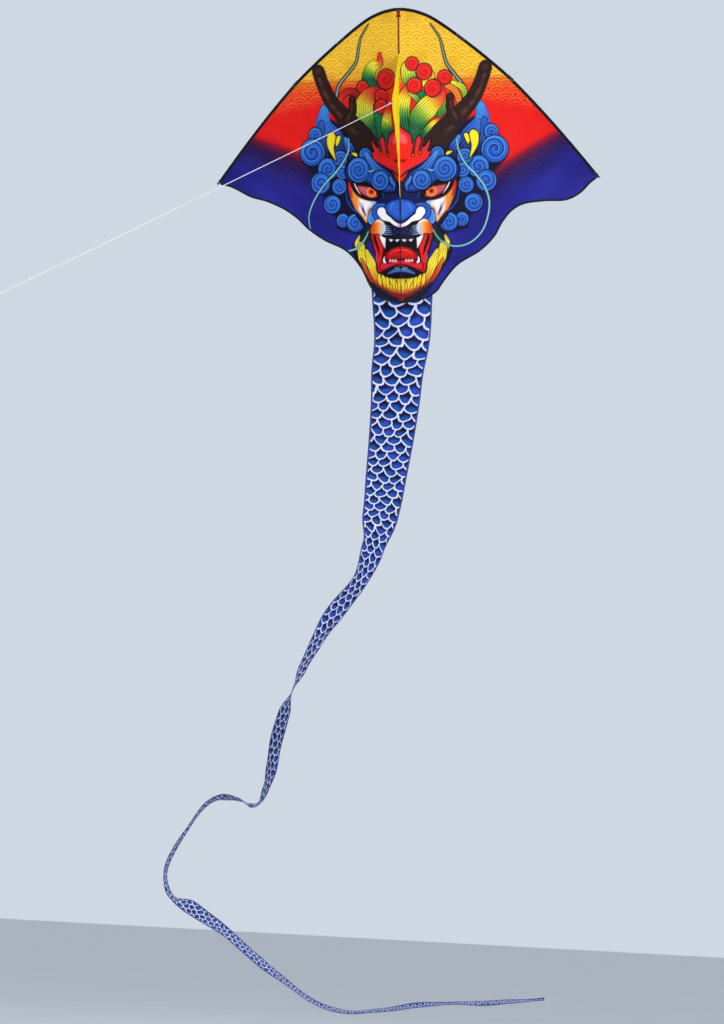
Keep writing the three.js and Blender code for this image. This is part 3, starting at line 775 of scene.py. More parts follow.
def paint_hair(cloth):
    """Two different heads of hair, one on each side of the keel."""
    right, left = cloth.seen_from(1), cloth.seen_from(-1)
    right.lock([(70, 340), (46, 300), (40, 262), (66, 232)], (58, 70, 60, 30), SHORT_HAIR, 6)
    right.lock([(132, 330), (142, 300), (120, 268)], (46, 52, 40), [(0, YELLOW), (1, ORANGE)], 4)
    red_curl(right, 62, 243, 29, -1)
    red_curl(right, 118, 277, 35)
    right.lock([(312, 392), (300, 352), (252, 326)], (22, 30, 16), [(0, LEAF), (1, YELLOW)], 3)
    right.lock([(286, 446), (282, 400), (262, 362), (226, 338)], (20, 28, 30, 26), RED_HAIR[::-1], 3)
    red_curl(right, 214, 303, 31, 1, 2.0)
    right.lock([(30, 560), (16, 480), (20, 410), (44, 360), (80, 336)], (60, 76, 66, 56, 46), HAIR, 6)
    right.lock([(104, 432), (84, 400), (52, 372)], (16, 26, 16), [(0, GREEN), (1, LIME)], 3)
    right.lock([(140, 420), (120, 392), (96, 372)], (50, 46, 26), [(0, GREEN), (1, GREEN * 1.3)], 5)
    red_curl(right, 72, 340, 34, -1, 0.6)
    right.lock([(196, 500), (196, 450), (214, 412)], (40, 52, 34), [(0, GREEN), (1, LEAF)], 4)
    right.lock([(72, 604), (78, 540), (96, 480), (140, 430), (184, 384), (170, 338)],
               (30, 66, 88, 96, 74, 56), HAIR, 8)
    right.lock([(112, 606), (128, 556), (164, 520), (218, 482)], (26, 46, 48, 24), HAIR, 5)
    red_curl(right, 158, 352, 37, 1, 1.2)
    left.lock([(132, 352), (154, 302), (134, 252), (98, 236), (96, 196)], (58, 66, 58, 40, 14), HAIR, 6)
    red_curl(left, 66, 308, 44, 1, 0.5)
    left.lock([(306, 428), (300, 384), (262, 356), (206, 366)], (20, 26, 30, 34), RED_HAIR, 3)
    red_curl(left, 186, 338, 27, -1)
    left.lock([(104, 604), (140, 546), (176, 484), (178, 420), (140, 374), (92, 372)],
              (40, 86, 96, 96, 78, 50), HAIR, 8)
    left.lock([(90, 560), (100, 500), (112, 458)], (46, 52, 40), [(0, GREEN), (1, GREEN * 1.4)], 5)
    red_curl(left, 92, 384, 30, -1, 1.0)
    red_curl(left, 92, 430, 31, 1, 2.5)
    left.lock([(56, 590), (66, 536), (62, 480), (56, 424)], (40, 58, 46, 26), HAIR, 6)


HORN = [(403, 262), (384, 322), (350, 394), (306, 446), (256, 498), (206, 552), (166, 604)]
PRONG = [(240, 392), (240, 436), (262, 486)]


def paint_horns(cloth):
    both = cloth.mirrored()
    for route, widths in ((HORN, (60, 62, 66, 74, 88, 104, 116)), (PRONG, (34, 38, 60))):
        spots, q, d = both.stroke(route, widths, BARK, BLACK, 2)
        sheen = smoothstep(1 - np.abs(q + 0.25) / 0.42) * smoothstep(d / 8)
        rings = 0.7 + 0.3 * np.sin(both.w[spots] / 9 + 2 * np.sin(both.x[spots] / 21))
        both.lay(spots, BARK_LIGHT, 0.75 * sheen * rings * smoothstep((590 - both.w[spots]) / 90))
    for x, w, r in ((403, 258, 30), (240, 388, 17)):
        spots, rho = both.about(x, w, r + 6)
        both.lay(spots, BARK, 0.5 + (r - rho) / EDGE)
        both.lay(spots, BARK_LIGHT, 0.45 * smoothstep(1 - rho / (r * 0.7)))


MANE_CURLS = [
    (436, 548, 34, 1), (455, 628, 62, -1), (376, 706, 50, 1), (312, 660, 36, -1), (300, 720, 34, 1),
    (414, 772, 48, -1), (318, 790, 36, 1), (352, 872, 42, -1), (296, 948, 31, 1), (234, 960, 42, -1),
]


def paint_mane(cloth):
    both = cloth.mirrored()
    both.fill([(150, 560), (260, 520), (398, 470), (430, 520), (470, 560), (520, 630), (492, 690),
               (450, 740), (452, 800), (398, 830), (392, 890), (330, 940), (322, 986), (240, 1008),
               (160, 1040), (60, 1010), (40, 700)], ink(16, 14, 44), soft=16)
    both.lock([(300, 630), (352, 560), (392, 500), (384, 430)], (90, 104, 80, 40),
              [(0, NAVY), (0.3, BLUE), (1, SKY)], 7, NAVY)
    both.lock([(402, 640), (412, 560), (402, 496)], (60, 56, 30),
              [(0, NAVY), (0.5, BLUE), (1, BLUE)], 4, NAVY)
    for x, w, r, hand in MANE_CURLS:
        both.curl(x, w, r, hand, 0.4 * x)
    both.lock([(250, 650), (262, 610), (282, 570)], (40, 44, 18),
              [(0, NAVY), (0.5, BLUE), (1, SKY)], 3, NAVY)
    for points in ([(344, 536), (374, 548), (378, 600), (350, 652), (332, 672), (342, 610), (330, 560)],
                   [(304, 556), (324, 552), (336, 590), (328, 606)],
                   [(216, 656), (226, 634), (256, 634), (238, 650)]):
        both.fill(points, YELLOW, LIME * 0.9, 9, BLACK, 5)


def paint_flame(cloth):
    both = cloth.mirrored()
    both.fill([(-8, 516), (22, 536), (54, 562), (62, 598), (70, 602), (80, 572), (94, 562), (108, 592),
               (112, 614), (122, 606), (146, 574), (144, 606), (134, 634), (164, 622), (152, 652), (118, 680),
               (72, 706), (34, 724), (-8, 752)], ink(240, 34, 28), ink(214, 40, 60), 30, BLACK, 6)
    both.fill([(-8, 530), (18, 542), (46, 570), (40, 610), (-8, 600)], ink(250, 96, 110), RED, 24)
    for x, w in ((96, 640), (62, 652)):
        both.stroke([(x + 10, w - 54), (x + 3, w - 24), (x, w)], (6, 10, 15), BARK * 1.6, DEEP_RED, 3)
        spots, rho = both.about(x, w, 14)
        both.lay(spots, DEEP_RED, 0.5 + (10 - rho) / 4)
        both.lay(spots, ORANGE, 0.5 + (4 - rho) / 4)
    both.stroke([(0, 672), (16, 678), (34, 672)], (10, 16, 4), DEEP_RED)


def paint_brows(cloth):
    both = cloth.mirrored()
    both.fill([(14, 800), (18, 766), (42, 738), (86, 712), (128, 680), (146, 646), (158, 618), (190, 610),
               (212, 630), (222, 656), (258, 668), (286, 706), (280, 748), (252, 772), (206, 764), (162, 782),
               (118, 812), (70, 822), (30, 818)], BLUE, NAVY, 22, BLACK, 7)
    both.curl(180, 644, 30, -1, 0.8)
    both.lock([(26, 790), (58, 756), (108, 722), (150, 676), (176, 640)], (20, 44, 46, 34, 20),
              [(0, NAVY), (0.4, BLUE), (1, SKY)], 3, NAVY)
    both.curl(216, 714, 56, 1, 2.2, 2.8)
    both.curl(104, 764, 44, -1, 2.9, 2.2)
    both.lock([(34, 808), (34, 780), (52, 752)], (10, 22, 10), [(0, BLUE), (1, SKY)], 1, NAVY)
    both.stroke([(130, 712), (152, 722), (170, 716)], (3, 9, 3), PALE_BLUE * 0.9, NAVY, 2)


def paint_face(cloth):
    both = cloth.mirrored()
    both.fill([(-20, 760), (60, 800), (150, 780), (262, 760), (282, 800), (276, 860), (236, 920), (200, 968),
               (166, 1000), (-20, 1000)], NAVY, BLACK, 16)
    both.stroke([(284, 800), (276, 852), (246, 896), (206, 920)], (3, 6, 3), BLUE)
    both.fill([(116, 876), (150, 850), (196, 838), (244, 812), (262, 768), (262, 806), (248, 860), (226, 904),
               (200, 934), (176, 962), (166, 940), (160, 902), (140, 890)], WHITE, ORANGE, 20, BLACK, 4)
    spots, d = both.area([(116, 876), (150, 850), (176, 846), (176, 960), (160, 902)])
    both.lay(spots, PALE_BLUE, 0.75 * smoothstep((172 - both.x[spots]) / 42) * (d > 0))
    spots, d = both.area([(206, 834), (244, 812), (262, 768), (266, 806), (248, 866), (222, 908)])
    both.lay(spots, ORANGE, 0.85 * smoothstep((both.x[spots] - 200) / 30) * smoothstep(d / 5 + 0.5))
    for k in range(3):
        both.stroke([(196 + 9 * k, 868 - 4 * k), (190 + 5 * k, 896), (178 + 2 * k, 924 + 5 * k)], (1, 4, 2),
                    NAVY * 1.4)
    both.fill([(126, 892), (150, 896), (168, 926), (164, 962), (140, 968), (118, 940)], SKY, PALE_BLUE, 12,
              NAVY, 4)
    both.fill([(70, 876), (104, 868), (138, 880), (146, 912), (132, 944), (108, 962), (80, 940), (64, 906)],
              BLUE, SKY, 12, NAVY, 6)
    both.fill([(-12, 850), (22, 852), (56, 862), (78, 886), (70, 910), (40, 936), (12, 952), (-12, 954)],
              ink(46, 96, 196), BLUE, 26, NAVY, 6)
    both.stroke([(30, 866), (46, 880), (52, 902)], (3, 9, 4), ink(64, 126, 216))
    both.stroke([(0, 840), (0, 900), (0, 956)], (5, 9, 4), NAVY)


def paint_eyes(cloth):
    both = cloth.mirrored()
    both.fill([(92, 836), (124, 800), (170, 776), (236, 764), (266, 760), (252, 792), (224, 832), (170, 856),
               (120, 856)], BLACK, soft=5)
    both.fill([(116, 838), (138, 806), (176, 788), (226, 786), (212, 816), (180, 838), (146, 848)],
              ink(196, 88, 98), DEEP_RED, 12, BLACK, 4)
    spots, rho = both.about(150, 816, 34, 1.06)
    iris = gradient(rho / 26, [
        (0, DEEP_RED * 0.4), (0.24, DEEP_RED * 0.6), (0.32, RED), (0.5, ORANGE), (0.62, RED * 0.9),
        (0.74, ORANGE), (0.86, ink(255, 214, 130)), (1, DEEP_RED)])
    both.lay(spots, iris, (0.5 + (25 - rho) / EDGE) * (both.w[spots] > 794 - (both.x[spots] - 150) * 0.2))
    both.stroke([(118, 822), (140, 798), (178, 784), (226, 784)], (4, 12, 14, 4), BLACK)
    both.stroke([(206, 828), (226, 800), (244, 764)], (2, 6, 3), WHITE)
    both.stroke([(250, 838), (262, 800), (266, 756)], (4, 14, 5), RED, BLACK, 1)
    both.stroke([(84, 846), (98, 812), (122, 792)], (2, 6, 2), BLUE)


def paint_nose(cloth):
    both = cloth.mirrored()
    both.fill([(-12, 960), (30, 958), (60, 936), (96, 944), (96, 980), (110, 1000), (88, 1028), (-12, 1030)],
              ink(20, 20, 50), BLACK, 20)
    both.fill([(44, 976), (56, 950), (78, 944), (86, 962), (72, 984)], BLACK, soft=5)
    spots, _, d = both.stroke([(98, 910), (86, 930), (54, 946), (26, 966), (-12, 978)], (44, 32, 17, 16, 13),
                              WHITE, BLACK, 4)
    both.lay(spots, ink(206, 150, 190), 0.8 * smoothstep((30 - both.x[spots]) / 30) * (d > 0))
    spots, rho = both.about(99, 911, 26)
    both.lay(spots, WHITE, 0.5 + (18 - rho) / EDGE)
    for x, w in ((30, 992), (48, 1000), (16, 1004), (36, 1012)):
        both.fill([(x - 5, w), (x, w - 4), (x + 5, w), (x, w + 4)], BLUE * 0.8)
    puff = [(82, 1002), (76, 978), (92, 954), (116, 944), (142, 962), (156, 992), (150, 1012), (116, 1010),
            (100, 1018)]
    spots, d = both.area(puff)
    glow = gradient((both.x[spots] - 74) / 76, [
        (0, PALE_BLUE), (0.14, WHITE), (0.42, ink(240, 176, 110)), (0.66, ORANGE),
        (1, ink(214, 60, 20))])
    glow = glow + (WHITE - glow) * (smoothstep((964 - both.w[spots]) / 16) * 0.8)[:, None]
    both.lay(spots, BLACK, 0.5 + (d + 3) / EDGE)
    both.lay(spots, glow, 0.5 + d / EDGE)
    for k in range(5):
        both.stroke([(92 + 3 * k, 966 + 10 * k), (74, 974 + 10 * k), (52 - 2 * k, 978 + 9 * k)], (6, 4, 1),
                    ink(150, 176, 204))


def paint_mouth(cloth):
    both = cloth.mirrored()
    gum = ink(120, 8, 18)
    both.fill([(-10, 1010), (112, 1000), (152, 996), (156, 1030), (142, 1074), (128, 1116), (126, 1152),
               (116, 1192), (96, 1192), (58, 1176), (24, 1164), (-10, 1162)], RED, gum, 9, BLACK, 7)
    both.stroke([(134, 1004), (132, 1034), (120, 1070), (108, 1110)], (6, 14, 12, 4), BLACK)
    both.stroke([(146, 1010), (144, 1040), (134, 1068)], (3, 8, 3), DEEP_RED)
    both.fill([(-10, 1012), (80, 1012), (100, 1026), (88, 1080), (92, 1104), (96, 1148), (60, 1156), (24, 1144),
               (-10, 1142)], gum, BLACK, 14, BLACK, 4)
    both.fill([(-10, 1018), (72, 1018), (78, 1060), (80, 1098), (50, 1078), (-10, 1062)], BLACK)
    both.fill([(-10, 1070), (24, 1072), (56, 1086), (80, 1112), (78, 1130), (30, 1128), (-10, 1126)],
              ink(206, 22, 20), ink(160, 10, 14), 22, BLACK, 4)
    both.stroke([(-6, 1084), (26, 1088), (58, 1104)], (6, 8, 3), ink(236, 60, 50))
    both.stroke([(0, 1074), (0, 1100), (0, 1130)], (3, 6, 3), DEEP_RED * 0.8)
    both.fill([(-10, 1134), (24, 1134), (62, 1146), (94, 1142), (106, 1150), (108, 1178), (92, 1184), (54, 1168),
               (22, 1156), (-10, 1154)], ink(214, 30, 50), gum, 8, BLACK, 3)
    shade = ink(196, 158, 176)
    for x, half in ((18, 15), (49, 13)):
        both.fill([(x - half, 1022), (x + half, 1022), (x + half, 1036), (x + 4, 1049), (x - 4, 1049),
                   (x - half, 1036)], WHITE, shade, 9, BLACK, 3)
    both.fill([(114, 1006), (84, 1014), (75, 1020), (76, 1050), (79, 1084), (94, 1062), (106, 1038)],
              WHITE, shade, 8, BLACK, 4)
    both.fill([(74, 1150), (90, 1148), (92, 1128), (82, 1112), (80, 1132)], WHITE, shade, 5, BLACK, 3)
    for x in (26, 40, 54):
        both.fill([(x - 6, 1142), (x + 6, 1142), (x + 3, 1130), (x - 3, 1130)], ink(240, 170, 170))
    both.stroke([(126, 1104), (126, 1126), (122, 1146)], (2, 5, 2), ink(150, 110, 150))
    both.fill([(-10, 1166), (24, 1166), (58, 1182), (96, 1196), (80, 1212), (-10, 1216)], BLACK, soft=6)
    both.stroke([(-6, 1180), (26, 1182), (66, 1198)], (16, 16, 6), ink(62, 104, 168))
    both.stroke([(-6, 1192), (24, 1194), (48, 1204)], (4, 6, 2), NAVY)
    for x in (14, 26):
        both.fill([(x - 4, 1168), (x + 4, 1170), (x, 1174)], WHITE * 0.8)


BEARD = [(0, ink(236, 196, 44)), (0.3, YELLOW), (0.5, ink(240, 190, 40)),
         (0.66, ink(196, 84, 22)), (0.84, ink(120, 20, 14)),
         (1, ink(30, 14, 24))]


def paint_beard(cloth):
    """Locks that follow the jaw, then fan down from the chin."""
    both = cloth.mirrored()
    both.fill([(-10, 1190), (110, 1190), (160, 1100), (196, 1040), (226, 1030), (250, 1090), (214, 1160),
               (170, 1222), (130, 1278), (70, 1330), (-10, 1350)], ink(20, 14, 34), soft=12)
    stem = ink(16, 40, 26)
    both.stroke([(160, 1000), (186, 1044), (212, 1070)], (50, 44, 20), stem)
    jaw = [(0, YELLOW * 0.9), (0.4, YELLOW), (0.8, ink(214, 140, 30)),
           (1, ink(130, 24, 12))]
    both.lock([(214, 1022), (226, 1058), (214, 1100)], (6, 24, 16), jaw, 2, OCHRE * 0.4)
    both.lock([(206, 1066), (196, 1116), (168, 1172), (140, 1222)], (34, 48, 40, 26), jaw, 4, OCHRE * 0.35)
    both.lock([(176, 1092), (156, 1140), (136, 1192), (116, 1250)], (16, 44, 44, 24), jaw, 4, OCHRE * 0.35)
    both.lock([(204, 1130), (180, 1180), (148, 1232), (126, 1268)], (8, 20, 20, 8),
              [(0, ORANGE), (0.5, ink(196, 56, 18)), (1, DEEP_RED)], 2, DEEP_RED * 0.3)
    for x, lean, top, low in ((112, -24, 1204, 1278), (92, -26, 1208, 1290), (72, -26, 1212, 1302),
                              (54, -22, 1212, 1312), (36, -16, 1210, 1320), (20, -10, 1208, 1326),
                              (6, -4, 1206, 1330)):
        both.lock([(x, top), (x + 0.3 * lean, (top * 2 + low) / 3), (x + lean, low)], (12, 27, 7),
                  BEARD, 2, ink(110, 50, 10), 0.2)
    both.stroke([(0, 1300), (26, 1298), (60, 1282)], (16, 14, 2), ink(134, 20, 22))
    both.stroke([(0, 1326), (50, 1318), (104, 1290), (150, 1244)], (26, 30, 30, 14), ink(22, 22, 44))
    both.stroke([(0, 1318), (18, 1316)], (14, 2), DEEP_RED)
    for x in (100, 62, 28):
        both.stroke([(x + 6, 1204), (x - 4, 1232), (x - 14, 1262)], (2, 5, 1), OCHRE * 0.5)


def paint_whiskers(cloth):
    for side, routes in (
        (1, ([(272, 578), (280, 626), (316, 694), (372, 752), (410, 806), (428, 870), (420, 936), (388, 1010),
              (330, 1060), (270, 1074), (216, 1062), (178, 1030), (156, 994)],)),
        (-1, ([(266, 570), (268, 626), (320, 706), (392, 776), (446, 850), (474, 926), (462, 1000)],
              [(280, 1094), (226, 1078), (184, 1034), (166, 1000)])),
    ):
        half = cloth.seen_from(side)
        for route in routes:
            half.stroke(route, (7, 8, 8, 7, 5), TEAL, BLACK * 2, 2)
            half.stroke(route, (2, 4, 3, 3, 1), np.minimum(TEAL * 1.25, 1))


def paint_sail(cloth):
    paint_background(cloth)
    paint_feelers(cloth)
    paint_mane(cloth)
    paint_hair(cloth)
    paint_horns(cloth)
    paint_flame(cloth)
    paint_face(cloth)
    paint_eyes(cloth)
    paint_brows(cloth)
    paint_beard(cloth)
    paint_mouth(cloth)
    paint_nose(cloth)
    paint_whiskers(cloth)


# ---------------------------------------------------------------- sail pieces
def print_on(piece, cloth):
    """Puts a painted print on a piece as its colour layer."""
    colour = linear(np.clip(cloth.ink, 0, 1) * 255)
    layer = piece.data.color_attributes.new("print", "FLOAT_COLOR", "POINT")
    layer.data.foreach_set("color", np.column_stack((colour, np.ones(len(colour)))).astype(np.float32).ravel())


def add_sail(name):
    side = SIDES[name]
    places, faces = sail_layout(name)
    x, w = places.T
    piece = add_mesh(f"sail_{name}", wing_point(side, x, w, cloth_back(name, x, w)), faces,
                     "print", "printed_sail")
    cloth = Print(side * x, w)
    paint_sail(cloth)
    print_on(piece, cloth)
    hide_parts(f"{name}_sail_panel", *(["sail_centre_strip"] if name == "right" else []))
    bend_with_wing(piece)


add_sail("right")
add_sail("left")


# ---------------------------------------------------------------- sleeves and binding
FERRULE_PLACE, FERRULE_HALF, FITTING_HALF, NOTCH, NOCK_LENGTH = 305, 20, 18, 3, 14
ROD_CLEAR = 3.5
SLEEVE_LIP = 9.2            # from the rod's middle to the sleeve's sewn edge
SLEEVE_SKIN_R = 4.6
SLEEVE_SKIN = 0.9           # the sleeve's two layers lie this far before and behind the print


def on_wing(name, path, reach, back):
    """Points at distances reach in from a path on the wing, lifted back from the filled cloth."""
    reach = np.broadcast_to(reach, len(path))
    spot = path + inward(path) * reach[:, None]
    x, w = np.maximum(spot[:, 0], 0.3), spot[:, 1]
    return wing_point(SIDES[name], x, w, cloth_back(name, x, w) * smoothstep((reach - 3) / 8) + back)


def add_sleeve(name, node, start, end):
    path = at_distances(LEADING, np.linspace(start, end, int((end - start) / 7) + 2))
    along = lengths_along(path)
    pucker = 1 + 0.035 * np.sin(along / 11) * np.sin(along / 37 + 1)
    ring = []
    for angle in np.radians(np.linspace(58, 302, 17)):
        reach, back = math.cos(angle), math.sin(angle)
        spot = path + inward(path) * (SLEEVE_SKIN_R * reach * pucker)[:, None]
        ring.append(wing_point(SIDES[name], np.maximum(spot[:, 0], 0.3), spot[:, 1],
                               SLEEVE_SKIN_R * back * pucker))
    for reach, back in ((5, -2.2), (7, -1.3), (SLEEVE_LIP, -SLEEVE_SKIN), (SLEEVE_LIP + 0.5, 0),
                        (SLEEVE_LIP, SLEEVE_SKIN), (7, 1.3), (5, 2.2)):
        ring.append(on_wing(name, path, reach, back))
    piece = add_strip(f"{name}_{node}_cloth", ring, "edging", "black_edging")
    seams = [(on_wing(name, path, SLEEVE_LIP - 1.6, 1.05 * way), way * wing_normal(name)) for way in (-1, 1)]
    thread = add_thread(f"{name}_{node}_stitches", seams, "black_edging")
    for part in (piece, thread):
        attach(part, f"{name}_wing")
    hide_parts(f"{name}_{node}")


def add_edge_hem(name, node, start, end, clear):
    """The cloth's own hem, seen where the sleeve is open round a ferrule, fitting or nock.

    It stays clear of that piece, and lies closer to the bare rod at both ends of it.
    """
    beyond = NOTCH + 2
    places = np.concatenate((np.linspace(start - beyond, start - 0.4, 5), np.linspace(start, end, 12),
                             np.linspace(end + 0.4, end + beyond, 5)))
    places = places[places < lengths_along(LEADING)[-1]]
    clear = np.where((places < start) | (places > end), ROD_CLEAR, clear)
    path = at_distances(LEADING, places)
    outline = folded([(SLEEVE_LIP, SLEEVE_SKIN), (clear + 1, 1.0)], clear, SLEEVE_LIP + 0.5)
    ring = [on_wing(name, path, reach, back) for reach, back in outline]
    hem = add_strip(f"{name}_{node}_hem", ring, "edging", "black_edging")
    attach(hem, f"{name}_wing")


def wing_normal(name):
    """The direction behind a wing."""
    return np.array([-SIDES[name] * math.sin(DIHEDRAL), 0, 0]) - FRONT * math.cos(DIHEDRAL)


def add_sleeves(name):
    length = lengths_along(LEADING)[-1]
    fitting = lengths_along(LEADING)[np.argmin(np.linalg.norm(LEADING - FITTING, axis=1))]
    ferrule = FERRULE_HALF + NOTCH
    grip = FITTING_HALF + NOTCH
    add_sleeve(name, "nose_arch_sleeve", 0, FERRULE_PLACE - ferrule)
    add_sleeve(name, "edge_sleeve_inner", FERRULE_PLACE + ferrule, fitting - grip)
    add_sleeve(name, "edge_sleeve_outer", fitting + grip, length - NOCK_LENGTH - NOTCH)
    add_edge_hem(name, "ferrule", FERRULE_PLACE - FERRULE_HALF, FERRULE_PLACE + FERRULE_HALF, 4.9)
    add_edge_hem(name, "fitting", fitting - FITTING_HALF, fitting + FITTING_HALF, 6.8)
    add_edge_hem(name, "tip", length - NOCK_LENGTH, length - 1, 5.9)


def add_binding(name):
    """Black tape folded over the trailing edge and sewn through."""
    path = np.vstack((TRAILING[name], [(0.5, CHIN + 1)]))
    path = at_distances(path, np.linspace(14, lengths_along(path)[-1], 330))
    outline = folded([(8, 0.9), (3, 1.2), (-0.6, 1.2)], -1.5, 8.4)
    ring = [on_trailing(name, path, reach, back) for reach, back in outline]
    piece = add_strip(f"{name}_trailing_tape", ring, "edging", "black_edging")
    seams = [(on_trailing(name, path, 5.6, 1.15 * way), way * wing_normal(name)) for way in (-1, 1)]
    thread = add_thread(f"{name}_trailing_stitches", seams, "black_edging")
    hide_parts(f"{name}_trailing_binding")
    for part in (piece, thread):
        bend_with_wing(part)


def on_trailing(name, path, reach, back):
    spot = path + inward(path) * reach
    x, w = np.maximum(spot[:, 0], 0.2), spot[:, 1]
    return wing_point(SIDES[name], x, w, cloth_back(name, x, w) + back)


for wing in SIDES:
    add_sleeves(wing)
    add_binding(wing)


# ---------------------------------------------------------------- spine sleeve, seam and nose patch
SPINE_SPLIT, SPINE_FERRULE_HALF, SPINE_END = 660, 18, 1225
FOLD_SLOPE = math.tan(DIHEDRAL)
NOSE_PATCH_TOP, NOSE_PATCH_END = 8, 40


def behind_cloth(x, places, lift):
    """Points at a distance x from the spine, lifted back from the filled cloth of that wing."""
    name = "right" if x > 0 else "left"
    x = np.full(len(places), abs(x), float)
    return wing_point(SIDES[name], x, places, cloth_back(name, x, places) + lift)


def add_spine_sleeve(node, start, end):
    places = np.linspace(start, end, int((end - start) / 6) + 2)
    pucker = 1 + 0.03 * np.sin(places / 13) * np.sin(places / 41)
    ring = [behind_cloth(-9, places, 1.0), behind_cloth(-7.4, places, 2.0)]
    for a in np.radians(np.linspace(50, 310, 17)):
        ring.append(on_spine(-5.5 * math.sin(a) * pucker, places, SPINE_BACK - 5.5 * math.cos(a) * pucker))
    ring += [behind_cloth(7.4, places, 2.0), behind_cloth(9, places, 1.0), behind_cloth(6, places, 0.5),
             behind_cloth(0.5, places, 1.2), behind_cloth(-6, places, 0.5)]
    piece = add_strip(f"{node}_cloth", ring, "edging", "black_edging")
    thread = add_thread(f"{node}_stitches", [(behind_cloth(x, places, 1.6), -FRONT) for x in (-8.2, 8.2)],
                        "black_edging")
    for part in (piece, thread):
        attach(part, "spine")
    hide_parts(node)


def add_seam(name, start, end, half, look):
    """A tape sewn down the sail's middle, in front."""
    places = np.linspace(start, end, int((end - start) / 8) + 2)
    back = half * FOLD_SLOPE
    outline = [(-half, back - 0.4), (-half, back - 1.0), (-0.4 * half, -0.9), (0, -1.1), (0.4 * half, -0.9),
               (half, back - 1.0), (half, back - 0.4), (0, -0.3)]
    ring = [on_spine(x, places, lift + 0.15 * np.sin(places / 9)) for x, lift in outline]
    seams = [(on_spine(x, places, -0.95), FRONT) for x in (0.55 * half, -0.55 * half)]
    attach(add_strip(name, ring, look, "black_edging"), "spine")
    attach(add_thread(f"{name}_stitches", seams, "black_edging", "thread", 3.6, 2.3, 0.3), "spine")


def add_nose_patch():
    """A short red tape pocket sewn over the spine's end, wider at its top and bottom."""
    places = np.linspace(NOSE_PATCH_TOP, NOSE_PATCH_END, 25)
    share = (places - NOSE_PATCH_TOP) / (NOSE_PATCH_END - NOSE_PATCH_TOP)
    half = 6.6 + 4.2 * smoothstep(np.abs(share - 0.5) / 0.42)
    swell = 1.6 * np.sin(np.pi * share) ** 0.6
    outline = [(-1, 0.7), (-1, 0.1), (-0.55, -0.2), (0, -0.5), (0.55, -0.2), (1, 0.1), (1, 0.7), (0, 0.9)]
    ring = []
    for x, depth in outline:
        belly = swell * (1 - abs(x)) * (depth < 0.3)
        ring.append(on_spine(x * half, places, abs(x) * half * FOLD_SLOPE - 1.4 + depth - belly))
    patch = add_strip("nose_patch", ring, "patch", "nose_patch")
    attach(patch, "spine")
    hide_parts("nose_pocket")
    seams = [(on_spine(x * half, places, np.abs(x * half) * FOLD_SLOPE - 1.9), FRONT) for x in (-0.82, 0.82)]
    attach(add_thread("nose_patch_stitches", seams, "nose_patch", "thread", 3.2, 2.2, 0.35), "spine")


def add_nose_tape():
    """The black edging between the two arch sleeves, over the middle of the nose."""
    across = np.linspace(-12.2, 12.2, 17)
    ring = []
    for angle in np.linspace(0, math.tau, 13)[:-1]:
        down = 3.2 + 5.2 * math.cos(angle) + 0.012 * across**2
        back = np.abs(across) * FOLD_SLOPE + 3.6 * math.sin(angle) * (0.5 - 0.5 * math.cos(angle)) ** 0.5
        ring.append(on_spine(across, down, back))
    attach(add_strip("nose_edge_tape", ring, "edging", "black_edging"), "spine")


add_nose_tape()
add_spine_sleeve("spine_sleeve_upper", 30, SPINE_SPLIT - SPINE_FERRULE_HALF - NOTCH)
add_spine_sleeve("spine_sleeve_lower", SPINE_SPLIT + SPINE_FERRULE_HALF + NOTCH, SPINE_END - 16)
add_seam("centre_seam_upper", NOSE_PATCH_END + 1, KEEL_TOP, 4, "seam")
add_seam("centre_seam_lower", KEEL_BOTTOM + 5, CHIN - 6, 1.8, "edging")
add_nose_patch()


# ---------------------------------------------------------------- keel
KEEL_CORNERS = [(0.8, KEEL_TOP), (280, 417), (283, 430), (278, 444), (0.8, KEEL_BOTTOM)]
EYELET = np.array([KEEL_DEPTH, TOW_DROP])
EYELET_GAP = 6.2


def keel_bow(reach, drop):
    """The keel's slight sideways belly and ripples, none at the sail or the eyelet."""
    away = np.hypot(reach - EYELET[0], drop - EYELET[1])
    hold = smoothstep(reach / 60) * smoothstep((away - 25) / 90)
    ripple = 1.4 * np.sin(drop / 37 + reach / 60) + 0.8 * np.sin((drop - 0.8 * reach) / 17)
    return hold * (5 * np.sin(np.pi * (drop - KEEL_TOP) / (KEEL_BOTTOM - KEEL_TOP)) + ripple)


def keel_point(reach, drop, across=0.0):
    reach, drop = np.asarray(reach, float), np.asarray(drop, float)
    return on_spine(keel_bow(reach, drop) + across, drop, -reach)


def keel_edge(first, last, depth, across):
    """A line along one free edge of the keel, a little way in from it."""
    line = first + (last - first) * np.linspace(0.02, 1, int(np.linalg.norm(last - first) / 6))[:, None]
    way = unit(last - first)
    into = np.array([-way[1], way[0]])
    if np.dot(into, np.mean(KEEL_CORNERS, 0) - first) < 0:
        into = -into
    reach, drop = (line + into * depth).T
    return keel_point(np.maximum(reach, 0.9), drop, across)


